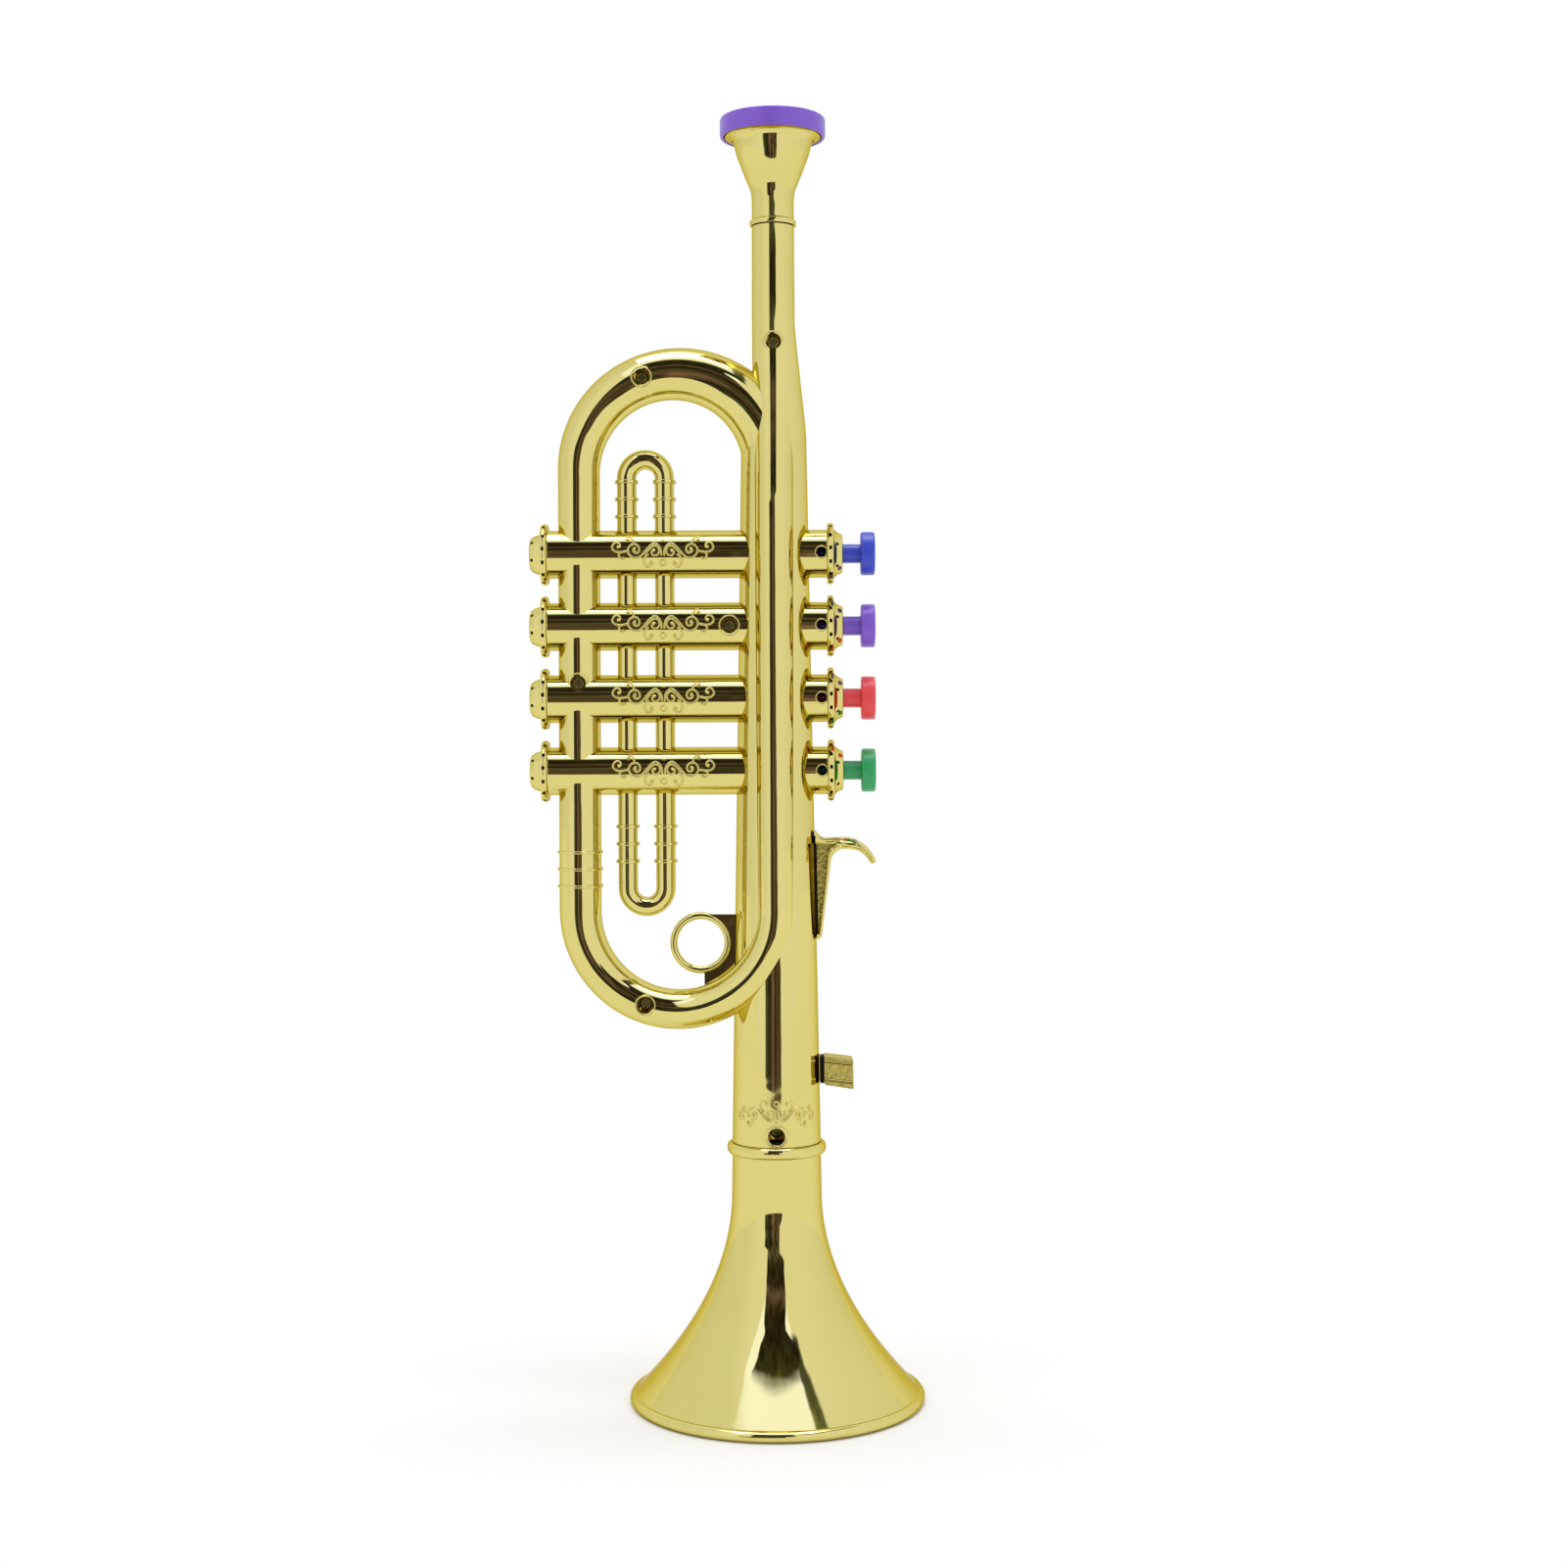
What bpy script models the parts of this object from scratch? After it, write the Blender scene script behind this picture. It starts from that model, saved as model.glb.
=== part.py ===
"""Toy trumpet with four sprung valve buttons, standing on its bell.

The bell's axis is vertical, the front half shell faces -Y and the buttons face +X.
Pieces are placed from the bell's axis, and an empty there carries them all.
"""

import math

import bmesh
import bpy
from mathutils import Matrix, Vector

# Overall sizes, in metres. Heights along the trumpet are shares of its length.
LENGTH = 0.370
BELL_DIAMETER = 0.085
RIM_DIAMETER = 0.0305

# Moulding
WALL = 0.0016
FIT_GAP = 0.0003
SEAM_GAP = 0.0003
OVERRUN = 0.003
WELD = 0.00001

# Bell
THROAT_RADIUS = 0.0130
BELL_HEIGHT_SHARE = 0.19
FLARE_HEIGHT_SHARE = 0.8535
BAND_RADIUS = 0.0143
BAND_HEIGHT = 0.0042
LIP_RADIUS = 0.0014
LIP_LAND = 0.0020
SPIGOT_HEIGHT = 0.0105

# Bell tube: a cone from the bell's band up to where it narrows into the lead pipe
FOOT_RADIUS = 0.0128
SHOULDER_RADIUS = 0.0094
SHOULDER_SHARE = 0.75676
TAIL_RADIUS = 0.0067
TAIL_SHARE = 0.8027
TAIL_OFFSET = 0.0009

# Tubing: receiver, lead pipe, lower bow, left tube and upper bow
RECEIVER_RADIUS = 0.0062
LEAD_RADIUS = 0.0054
LEAD_DEPTH = 0.0082
LEAD_START_SHARE = 0.81081
LEAD_LEVEL_SHARE = 0.70811
LOWER_BOW_SHARE = 0.38243
UPPER_BOW_SHARE = 0.72486
BOW_SPAN = 0.0564
TUBE_RADIUS = 0.00605
BOW_END_RADIUS = 0.0092

# Valve barrels, along X
VALVE_COUNT = 4
VALVE_TOP_SHARE = 0.66027
VALVE_PITCH_SHARE = 0.056405
BARREL_RADIUS = 0.0069
COLLAR_RADIUS = 0.0089
COLLAR_WIDTH = 0.0019
NECK_END = 0.0152
BARREL_END = 0.0653
LEFT_CAP_LENGTH = 0.0034
LEFT_CAP_RADIUS = 0.0059
RIGHT_CAP_LENGTH = 0.0026
RIGHT_CAP_RADIUS = 0.0075
SOUND_HOLE_RADIUS = 0.0014
SOUND_HOLE_REACH = 0.0135

# Buttons and what they carry
BUTTON_RADIUS = 0.00625
BUTTON_THICKNESS = 0.0041
BUTTON_ROUNDING = 0.0005
STEM_RADIUS = 0.00275
TRAVEL = 0.0040
PRESSED_GAP = 0.0012
STOP_RADIUS = 0.0044
STOP_WIDTH = 0.0014
PIN_RADIUS = 0.0011
PIN_HEAD_RADIUS = 0.0017
PIN_HEAD_WIDTH = 0.0006
PAD_RADIUS = 0.0028
PAD_THICKNESS = 0.0014
SPRING_RADIUS = 0.0029
SPRING_WIRE = 0.0005
SPRING_TURNS = 4

# Wind box, reed plate, reeds, cover and gasket
BOX_HALF_WIDTH = 0.0039
BOX_WALL = 0.0008
PORT_WALL = 0.0012
PORT_RADIUS = 0.0020
CELL_WALL = 0.0025
PLENUM_HEIGHT = 0.0035
CELL_END_GAP = 0.0006
REED_PLATE_THICKNESS = 0.0012
SLOT_LENGTH = 0.0090
SLOT_WIDTH = 0.0028
REED_LENGTH = 0.0120
REED_WIDTH = 0.0022
REED_THICKNESS = 0.0003
INLET_RADIUS = 0.0034
INLET_BORE = 0.0024
INLET_HEIGHT = 0.0055
SHELF_THICKNESS = 0.0015
GASKET_THICKNESS = 0.0018
CRADLE_HALF_WIDTH = 0.0020

# Tuning slide
SLIDE_RADIUS = 0.0028
SLIDE_SPACING = 0.0109
SLIDE_MIDDLE = 0.03715
SLIDE_TOP_SHARE = 0.74189
SLIDE_BOTTOM_SHARE = 0.37757
BEAD_RADIUS = 0.0034
BEAD_WIDTH = 0.0010
BEAD_PITCH = 0.0050
UPPER_BEAD_SHARE = 0.68973
LOWER_BEAD_SHARE = 0.42081

# Rings round the left tube
TUBE_RING_RADIUS = 0.0066
TUBE_RING_WIDTH = 0.0008
TUBE_RING_SHARE = 0.40162
TUBE_RING_PITCH = 0.0049

# Mouthpiece and rim
RIM_HEIGHT = 0.0055
RIM_ROUNDING = 0.0008
RIM_MOUTH_RADIUS = 0.0088
CUP_RADIUS = 0.0111
CUP_HEIGHT = 0.0188
CUP_COLLAR_RADIUS = 0.0106
CUP_COLLAR_HEIGHT = 0.0030
CUP_NECK_RADIUS = 0.0061
CUP_NECK_LENGTH = 0.0032
MOUTHPIECE_BAND_RADIUS = 0.0067
MOUTHPIECE_BAND_HEIGHT = 0.0018
MOUTHPIECE_BORE = 0.0022
MOUTHPIECE_SPIGOT = 0.0130

# Screws
SCREW_SEAT_RADIUS = 0.0023
SCREW_HEAD_RADIUS = 0.0019
SCREW_HEAD_HEIGHT = 0.0012
SCREW_SHANK_RADIUS = 0.0009
SCREW_HOLE_RADIUS = 0.0012
SCREW_LENGTH = 0.0050
SEAT_TO_SEAM = 0.0026
PILLAR_RADIUS = 0.0031
PILLAR_INSET = 0.0010
TOP_SCREW_RISE = 0.0048
UPPER_SCREW_DEGREES = 110
LOWER_SCREW_DEGREES = 109

# Finger hook, finger ring and lyre socket
HOOK_TOP_SHARE = 0.44568
HOOK_HEIGHT = 0.0320
HOOK_REACH = 0.0289
HOOK_WIDTH = 0.0076
HOOK_POCKET_DEPTH = 0.0021
RING_RADIUS = 0.0089
RING_BORE = 0.0068
RING_TUBE_GAP = 0.0011
RING_BOW_GAP = 0.00175
WEB_THICKNESS = 0.0016
WEB_TOP_INSET = 0.0007
WEB_FOOT_INSET = 0.0010
SOCKET_TOP_SHARE = 0.26541
SOCKET_HEIGHT = 0.0078
SOCKET_WIDTH = 0.0078
SOCKET_REACH = 0.0221
SOCKET_NECK_INSET = 0.0005
SOCKET_NECK_LENGTH = 0.0013
SOCKET_GROOVE = 0.0007
PEG_RADIUS = 0.0012
PEG_LENGTH = 0.0034

# Outlines, as shares of the sizes that they follow, from the piece's root and foot
FLARE_SHARES = (1.0, 0.8, 0.64, 0.5, 0.37, 0.25, 0.15, 0.08)
BAND_SHARES = ((0.6, 0.1), (1.0, 0.35), (1.0, 0.65), (0.6, 0.9), (0.0, 1.0))
RIGHT_CAP_SHARES = ((0.8, 0.4), (0.67, 1.0))
LEFT_CAP_SHARES = ((0.93, 0.5), (0.76, 1.0))
CUP_SHARES = (0.88, 0.74, 0.6, 0.45, 0.3, 0.15, 0.0)
BOWL_SHARES = (0.0, 0.3, 0.6)
BOWL_FOOT_SHARE = 0.2
MOUTHPIECE_BAND_SHARE = 0.3
ROUNDING_SHARE = 0.3
LEAD_BORE_SHARES = (0.1, 0.75)
SCREW_CROWN_SHARE = 0.7
SCREW_EDGE_SHARE = 0.4
SCREW_TIP_SHARE = 0.85
TUBE_SCREW_SHARE = 0.64
HOOK_PEG_SHARES = (0.2, 0.8)
HOOK_OUTLINE_SHARES = (
    (0.0, 1.0),
    (0.05, 0.962),
    (0.10, 0.933),
    (0.16, 0.916),
    (0.25, 0.916),
    (0.50, 0.922),
    (0.63, 0.909),
    (0.75, 0.88),
    (0.86, 0.836),
    (0.95, 0.77),
    (1.0, 0.71),
    (0.98, 0.692),
    (0.92, 0.69),
    (0.83, 0.752),
    (0.76, 0.786),
    (0.68, 0.808),
    (0.50, 0.82),
    (0.41, 0.812),
    (0.34, 0.787),
    (0.29, 0.75),
    (0.262, 0.70),
    (0.25, 0.64),
    (0.213, 0.475),
    (0.152, 0.204),
    (0.12, 0.06),
    (0.085, 0.015),
    (0.0, 0.0),
    (-0.15, 0.0),
    (-0.15, 1.0),
)
HOOK_POCKET_SHARES = (
    (0.06, 0.86),
    (0.36, 0.86),
    (0.26, 0.83),
    (0.22, 0.77),
    (0.20, 0.64),
    (0.165, 0.45),
    (0.11, 0.20),
    (0.085, 0.08),
    (0.06, 0.08),
)
SOCKET_OUTLINE_SHARES = ((0.0, 1.0), (1.0, 0.91), (1.0, 0.0), (0.0, 0.16))
SOCKET_GROOVE_SHARES = ((0.82, 0.75), (0.35, 0.24))

# Numbers of sides
TUBE_SIDES = 16
CONE_SIDES = 28
BELL_SIDES = 36
RIM_SIDES = 32
TURNED_SIDES = 20
SLIDE_SIDES = 10
BORE_SIDES = 10
HOLE_SIDES = 10
PEG_SIDES = 8
BOW_STEPS = 12
WEB_STEPS = 4
SPRING_POINTS = 8
SPRING_SIDES = 6
SHARP_DEGREES = 35

# Worked out from the sizes above
BELL_RADIUS = BELL_DIAMETER / 2
BELL_HEIGHT = LENGTH * BELL_HEIGHT_SHARE
FLARE_HEIGHT = BELL_HEIGHT * FLARE_HEIGHT_SHARE
SHOULDER_HEIGHT = LENGTH * SHOULDER_SHARE
TAIL_HEIGHT = LENGTH * TAIL_SHARE
LEAD_START = LENGTH * LEAD_START_SHARE
LEAD_LEVEL = LENGTH * LEAD_LEVEL_SHARE
LOWER_BOW_HEIGHT = LENGTH * LOWER_BOW_SHARE
UPPER_BOW_HEIGHT = LENGTH * UPPER_BOW_SHARE
VALVE_TOP = LENGTH * VALVE_TOP_SHARE
VALVE_PITCH = LENGTH * VALVE_PITCH_SHARE
CELL_HALF_HEIGHT = (VALVE_PITCH - CELL_WALL) / 2
SLIDE_TOP = LENGTH * SLIDE_TOP_SHARE
SLIDE_BOTTOM = LENGTH * SLIDE_BOTTOM_SHARE
UPPER_BEAD_HEIGHT = LENGTH * UPPER_BEAD_SHARE
LOWER_BEAD_HEIGHT = LENGTH * LOWER_BEAD_SHARE
TUBE_RING_HEIGHT = LENGTH * TUBE_RING_SHARE
HOOK_TOP = LENGTH * HOOK_TOP_SHARE
SOCKET_TOP = LENGTH * SOCKET_TOP_SHARE
JOINT_HEIGHT = BELL_HEIGHT + BAND_HEIGHT
BODY_FOOT = JOINT_HEIGHT + FIT_GAP
RIM_FOOT = LENGTH - RIM_HEIGHT
CUP_FOOT = RIM_FOOT - CUP_HEIGHT
MOUTHPIECE_FOOT = CUP_FOOT - CUP_NECK_LENGTH - MOUTHPIECE_BAND_HEIGHT
BODY_TOP = MOUTHPIECE_FOOT - FIT_GAP
LEFT_REACH = BARREL_END + COLLAR_WIDTH + LEFT_CAP_LENGTH
BELL_AXIS_ACROSS = (LEFT_REACH - BELL_RADIUS) / 2
RIGHT_REACH = NECK_END + COLLAR_WIDTH + RIGHT_CAP_LENGTH
VALVE_HEIGHTS = [VALVE_TOP - number * VALVE_PITCH for number in range(VALVE_COUNT)]

# Colours as linear RGB
GOLD = (0.72, 0.60, 0.24)
BLUE = (0.03, 0.07, 0.50)
PURPLE = (0.20, 0.08, 0.52)
RED = (0.80, 0.04, 0.04)
GREEN = (0.02, 0.36, 0.10)
STEEL = (0.35, 0.35, 0.36)
BRASS = (0.70, 0.46, 0.15)
RUBBER = (0.02, 0.02, 0.02)
WHITE = (0.78, 0.78, 0.74)


def clear_scene():
    for obj in list(bpy.data.objects):
        bpy.data.objects.remove(obj, do_unlink=True)


def make_collection(name):
    collection = bpy.data.collections.new(name)
    bpy.context.scene.collection.children.link(collection)
    return collection


def make_material(name, colour, roughness, metallic):
    material = bpy.data.materials.new(name)
    material.use_nodes = True
    shader = material.node_tree.nodes["Principled BSDF"]
    shader.inputs["Base Color"].default_value = (*colour, 1.0)
    shader.inputs["Roughness"].default_value = roughness
    shader.inputs["Metallic"].default_value = metallic
    return material


def new_object(name, data):
    obj = bpy.data.objects.new(name, data)
    bpy.context.scene.collection.objects.link(obj)
    return obj


def mesh_object(name, bm):
    bmesh.ops.recalc_face_normals(bm, faces=bm.faces)
    mesh = bpy.data.meshes.new(name)
    bm.to_mesh(mesh)
    bm.free()
    return new_object(name, mesh)


def bake(obj):
    """Replace the object's mesh with what its modifiers make of it."""
    bpy.context.view_layer.update()
    evaluated = obj.evaluated_get(bpy.context.evaluated_depsgraph_get())
    mesh = bpy.data.meshes.new_from_object(evaluated)
    obj.modifiers.clear()
    obj.data = mesh
    return obj


def combine(target, tools, operation):
    """Join or cut the target with each tool, which is then used up."""
    for tool in tools:
        modifier = target.modifiers.new(tool.name, "BOOLEAN")
        modifier.operation = operation
        modifier.object = tool
    bake(target)
    for tool in tools:
        bpy.data.objects.remove(tool, do_unlink=True)
    return target


def join(target, *tools):
    return combine(target, tools, "UNION")


def cut(target, *tools):
    return combine(target, tools, "DIFFERENCE")


def aim(obj, place, direction):
    """Put the object's origin at the place with its local Z along the direction."""
    turn = Vector(direction).to_track_quat("Z", "Y").to_matrix().to_4x4()
    obj.matrix_world = Matrix.Translation(Vector(place)) @ turn
    return obj


def turned(name, profile, sides):
    """Turn a profile of (radius, height) points, which runs down its outer side."""
    bm = bmesh.new()
    points = [bm.verts.new((radius, 0, height)) for radius, height in profile]
    for first, second in zip(points, points[1:]):
        bm.edges.new((first, second))
    if profile[0][0] > 0:
        bm.edges.new((points[-1], points[0]))
    mesh = bpy.data.meshes.new(name)
    bm.to_mesh(mesh)
    bm.free()
    obj = new_object(name, mesh)
    screw = obj.modifiers.new("Turn", "SCREW")
    screw.steps = sides
    screw.render_steps = sides
    screw.use_merge_vertices = True
    screw.merge_threshold = WELD
    bake(obj)
    return obj


def off_seam(obj, sides):
    """Turn a round solid by half a facet, which keeps its points off the shells' seam."""
    obj.data.transform(Matrix.Rotation(math.pi / sides, 4, "Z"))
    return obj


def rod(name, start, end, radius, sides=HOLE_SIDES):
    """A plain round bar between two points."""
    start = Vector(start)
    end = Vector(end)
    length = (end - start).length
    bm = bmesh.new()
    bmesh.ops.create_cone(
        bm, cap_ends=True, segments=sides, radius1=radius, radius2=radius, depth=length
    )
    bmesh.ops.translate(bm, vec=(0, 0, length / 2), verts=bm.verts)
    bmesh.ops.rotate(bm, matrix=Matrix.Rotation(math.pi / sides, 3, "Z"), verts=bm.verts)
    return aim(mesh_object(name, bm), start, end - start)


def box(name, low, high):
    """A box between two corners."""
    low = Vector(low)
    high = Vector(high)
    bm = bmesh.new()
    bmesh.ops.create_cube(bm, size=1)
    bmesh.ops.scale(bm, vec=high - low, verts=bm.verts)
    bmesh.ops.translate(bm, vec=(low + high) / 2, verts=bm.verts)
    return mesh_object(name, bm)


def weld(mesh):
    """Weld the loose caps of a mesh made from a curve."""
    bm = bmesh.new()
    bm.from_mesh(mesh)
    bmesh.ops.remove_doubles(bm, verts=bm.verts, dist=WELD)
    bmesh.ops.recalc_face_normals(bm, faces=bm.faces)
    bm.to_mesh(mesh)
    bm.free()


def curve_to_mesh(name, curve):
    """Make a welded mesh object from a curve, and remove the curve."""
    guide = new_object(name + "_guide", curve)
    bpy.context.view_layer.update()
    evaluated = guide.evaluated_get(bpy.context.evaluated_depsgraph_get())
    mesh = bpy.data.meshes.new_from_object(evaluated)
    weld(mesh)
    obj = new_object(name, mesh)
    obj.matrix_world = guide.matrix_world.copy()
    bpy.data.objects.remove(guide, do_unlink=True)
    return obj


def tube(name, stations, sides=TUBE_SIDES, closed=False):
    """A round tube through stations of ((x, y, z), radius), filled at its ends."""
    first_radius = stations[0][1]
    curve = bpy.data.curves.new(name, "CURVE")
    curve.dimensions = "3D"
    curve.bevel_depth = first_radius
    curve.bevel_resolution = (sides - 4) // 2
    curve.use_fill_caps = True
    spline = curve.splines.new("POLY")
    spline.points.add(len(stations) - 1)
    for point, (place, radius) in zip(spline.points, stations):
        point.co = (*place, 1)
        point.radius = radius / first_radius
        point.tilt = math.pi / sides
    spline.use_cyclic_u = closed
    return curve_to_mesh(name, curve)


def plate(name, outline, thickness):
    """A flat plate with its outline of (x, z) points in the XZ plane, centred on Y = 0."""
    curve = bpy.data.curves.new(name, "CURVE")
    curve.dimensions = "2D"
    curve.fill_mode = "BOTH"
    curve.extrude = thickness / 2
    spline = curve.splines.new("POLY")
    spline.points.add(len(outline) - 1)
    for point, (across, height) in zip(spline.points, outline):
        point.co = (across, height, 0, 1)
    spline.use_cyclic_u = True
    obj = curve_to_mesh(name, curve)
    obj.data.transform(Matrix.Rotation(math.pi / 2, 4, "X"))
    return obj


def bell_tube_radius(height):
    """The bell tube's outer radius, on its straight cone, at a height."""
    share = (height - BODY_FOOT) / (SHOULDER_HEIGHT - BODY_FOOT)
    return FOOT_RADIUS + (SHOULDER_RADIUS - FOOT_RADIUS) * share


def ring_place():
    """The X and height of the finger ring, off the bell tube and inside the lower bow."""
    bow_radius = BOW_SPAN / 2
    across = bell_tube_radius(LOWER_BOW_HEIGHT) + RING_TUBE_GAP + RING_RADIUS
    reach = bow_radius - TUBE_RADIUS - RING_BOW_GAP - RING_RADIUS
    drop = math.sqrt(reach**2 - (bow_radius - across) ** 2)
    return -across, LOWER_BOW_HEIGHT - drop


def bell_tube(name, inset, foot=BODY_FOOT, top_overrun=0):
    """The bell tube's cone with its narrow tail, inset from its outer surface."""
    middle_height = (SHOULDER_HEIGHT + TAIL_HEIGHT) / 2
    middle_radius = (SHOULDER_RADIUS + TAIL_RADIUS) / 2
    tail_end = TAIL_HEIGHT + 2 * (TAIL_HEIGHT - middle_height)
    stations = [
        ((0, 0, foot), bell_tube_radius(foot) - inset),
        ((0, 0, SHOULDER_HEIGHT), SHOULDER_RADIUS - inset),
        ((TAIL_OFFSET / 2, 0, middle_height), middle_radius - inset),
        ((TAIL_OFFSET, 0, TAIL_HEIGHT), TAIL_RADIUS - inset),
        ((0, 0, tail_end + top_overrun), RECEIVER_RADIUS - FIT_GAP - inset),
    ]
    return tube(name, stations, CONE_SIDES)


def lead_pipe_stations(inset):
    """From the mouthpiece down the receiver and the lead pipe to the lower bow."""
    return [
        ((0, 0, BODY_TOP), RECEIVER_RADIUS - inset),
        ((0, 0, LEAD_START), RECEIVER_RADIUS - inset),
        ((0, -LEAD_DEPTH, LEAD_LEVEL), LEAD_RADIUS - inset),
        ((0, -LEAD_DEPTH, LOWER_BOW_HEIGHT), LEAD_RADIUS - inset),
    ]


def lower_bow_stations(inset):
    """Round the lower bow, from in front of the bell tube to the left tube."""
    bow_radius = BOW_SPAN / 2
    stations = []
    for step in range(1, BOW_STEPS + 1):
        share = step / BOW_STEPS
        angle = math.pi * share
        across = -bow_radius + bow_radius * math.cos(angle)
        depth = -LEAD_DEPTH * (1 + math.cos(angle)) / 2
        height = LOWER_BOW_HEIGHT - bow_radius * math.sin(angle)
        radius = LEAD_RADIUS + (TUBE_RADIUS - LEAD_RADIUS) * share
        stations.append(((across, depth, height), radius - inset))
    return stations


def upper_bow_stations(inset, steps=BOW_STEPS):
    """Up the left tube and round the upper bow, which widens all the way."""
    bow_radius = BOW_SPAN / 2
    stations = []
    for step in range(steps + 1):
        share = step / BOW_STEPS
        angle = math.pi * (1 - share)
        across = -bow_radius + bow_radius * math.cos(angle)
        height = UPPER_BOW_HEIGHT + bow_radius * math.sin(angle)
        radius = TUBE_RADIUS * (BOW_END_RADIUS / TUBE_RADIUS) ** share
        stations.append(((across, 0, height), radius - inset))
    return stations


def lower_tubing_stations(inset):
    """From the lower bow up the left tube, to its end inside the top barrel."""
    end = ((-BOW_SPAN, 0, VALVE_TOP - SHELF_THICKNESS), TUBE_RADIUS - inset)
    return lower_bow_stations(inset) + [end]


def upper_tubing(name, inset, steps=BOW_STEPS, sides=TUBE_SIDES):
    """From inside the top barrel up the left tube and round the upper bow."""
    start = ((-BOW_SPAN, 0, VALVE_TOP + SHELF_THICKNESS), TUBE_RADIUS - inset)
    return tube(name, [start] + upper_bow_stations(inset, steps), sides)


def barrel(height):
    """The outside of a valve barrel, turned about X, with its collars and caps."""
    left_cap = -BARREL_END - COLLAR_WIDTH
    right_cap = NECK_END + COLLAR_WIDTH
    profile = [(0, RIGHT_REACH)]
    for radius_share, length_share in reversed(RIGHT_CAP_SHARES):
        profile.append(
            (RIGHT_CAP_RADIUS * radius_share, right_cap + RIGHT_CAP_LENGTH * length_share)
        )
    profile += [
        (RIGHT_CAP_RADIUS, right_cap),
        (COLLAR_RADIUS, right_cap),
        (COLLAR_RADIUS, NECK_END),
        (BARREL_RADIUS, NECK_END),
        (BARREL_RADIUS, -BARREL_END),
        (COLLAR_RADIUS, -BARREL_END),
        (COLLAR_RADIUS, left_cap),
        (LEFT_CAP_RADIUS, left_cap),
    ]
    for radius_share, length_share in LEFT_CAP_SHARES:
        profile.append(
            (LEFT_CAP_RADIUS * radius_share, left_cap - LEFT_CAP_LENGTH * length_share)
        )
    profile.append((0, -LEFT_REACH))
    solid = off_seam(turned("barrel", profile, TUBE_SIDES), TUBE_SIDES)
    return aim(solid, (0, 0, height), (1, 0, 0))


def slide_ends():
    """The centre heights of the tuning slide's two bends."""
    reach = SLIDE_SPACING / 2 + SLIDE_RADIUS
    return SLIDE_TOP - reach, SLIDE_BOTTOM + reach


def tuning_slide():
    """The slim closed loop that crosses all the barrels."""
    bend = SLIDE_SPACING / 2
    bend_steps = BOW_STEPS // 2
    upper, lower = slide_ends()
    stations = []
    for centre, first_angle in ((upper, 0), (lower, math.pi)):
        for step in range(bend_steps + 1):
            angle = first_angle + math.pi * step / bend_steps
            across = -SLIDE_MIDDLE + bend * math.cos(angle)
            height = centre + bend * math.sin(angle)
            stations.append(((across, 0, height), SLIDE_RADIUS))
    return tube("tuning_slide", stations, SLIDE_SIDES, closed=True)


def slide_beads():
    """Three beads on each leg of the slide, above and below the barrels."""
    beads = []
    for side in (-1, 1):
        across = -SLIDE_MIDDLE + side * SLIDE_SPACING / 2
        for first in (UPPER_BEAD_HEIGHT, LOWER_BEAD_HEIGHT):
            for number in range(3):
                foot = first + number * BEAD_PITCH - BEAD_WIDTH / 2
                ends = (across, 0, foot), (across, 0, foot + BEAD_WIDTH)
                beads.append(rod("bead", *ends, BEAD_RADIUS, SLIDE_SIDES))
    return beads


def tube_rings():
    """Three thin rings round the left tube."""
    rings = []
    for number in range(3):
        foot = TUBE_RING_HEIGHT + number * TUBE_RING_PITCH - TUBE_RING_WIDTH / 2
        ends = (-BOW_SPAN, 0, foot), (-BOW_SPAN, 0, foot + TUBE_RING_WIDTH)
        rings.append(rod("tube_ring", *ends, TUBE_RING_RADIUS, TUBE_SIDES))
    return rings


def box_depth():
    """The wind box's reach from the bell tube's axis, so that its corners fit the bore."""
    reach = bell_tube_radius(box_top()) - WALL - 2 * FIT_GAP
    return math.sqrt(reach**2 - BOX_HALF_WIDTH**2)


def plenum_foot():
    return VALVE_HEIGHTS[0] + CELL_HALF_HEIGHT + PORT_WALL


def box_top():
    return plenum_foot() + PLENUM_HEIGHT + PORT_WALL


def box_foot():
    return VALVE_HEIGHTS[-1] - CELL_HALF_HEIGHT - PORT_WALL


def box_left():
    """The X of the wind box's open left face, with room for a pressed pin's head."""
    return pad_left() - FIT_GAP - PIN_HEAD_WIDTH - TRAVEL - CELL_END_GAP


def plate_left():
    """The X of the reed plate's left face, which carries the reeds."""
    return box_left() - FIT_GAP - REED_PLATE_THICKNESS


def plate_top():
    return box_top() - PORT_WALL - FIT_GAP


def gasket_foot():
    return box_top() + SHELF_THICKNESS + 2 * FIT_GAP


def stop_left():
    """The X of the left face of a piston's stop collar."""
    return NECK_END + COLLAR_WIDTH - FIT_GAP - STOP_WIDTH


def lower_bore():
    """The bore from the lead pipe, below the gasket, round to the top barrel."""
    stations = [((0, -LEAD_DEPTH, plenum_foot()), LEAD_RADIUS - WALL)]
    stations += lead_pipe_stations(WALL)[-1:]
    return tube("lower_bore", stations + lower_tubing_stations(WALL), BORE_SIDES)


def upper_lead_bore():
    """The bore of the slanting stretch of the lead pipe, above the gasket."""
    _, start, end, _ = lead_pipe_stations(WALL)
    stations = []
    for share in LEAD_BORE_SHARES:
        place = Vector(start[0]).lerp(Vector(end[0]), share)
        stations.append((tuple(place), LEAD_RADIUS - WALL))
    return tube("upper_lead_bore", stations, BORE_SIDES)


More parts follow.
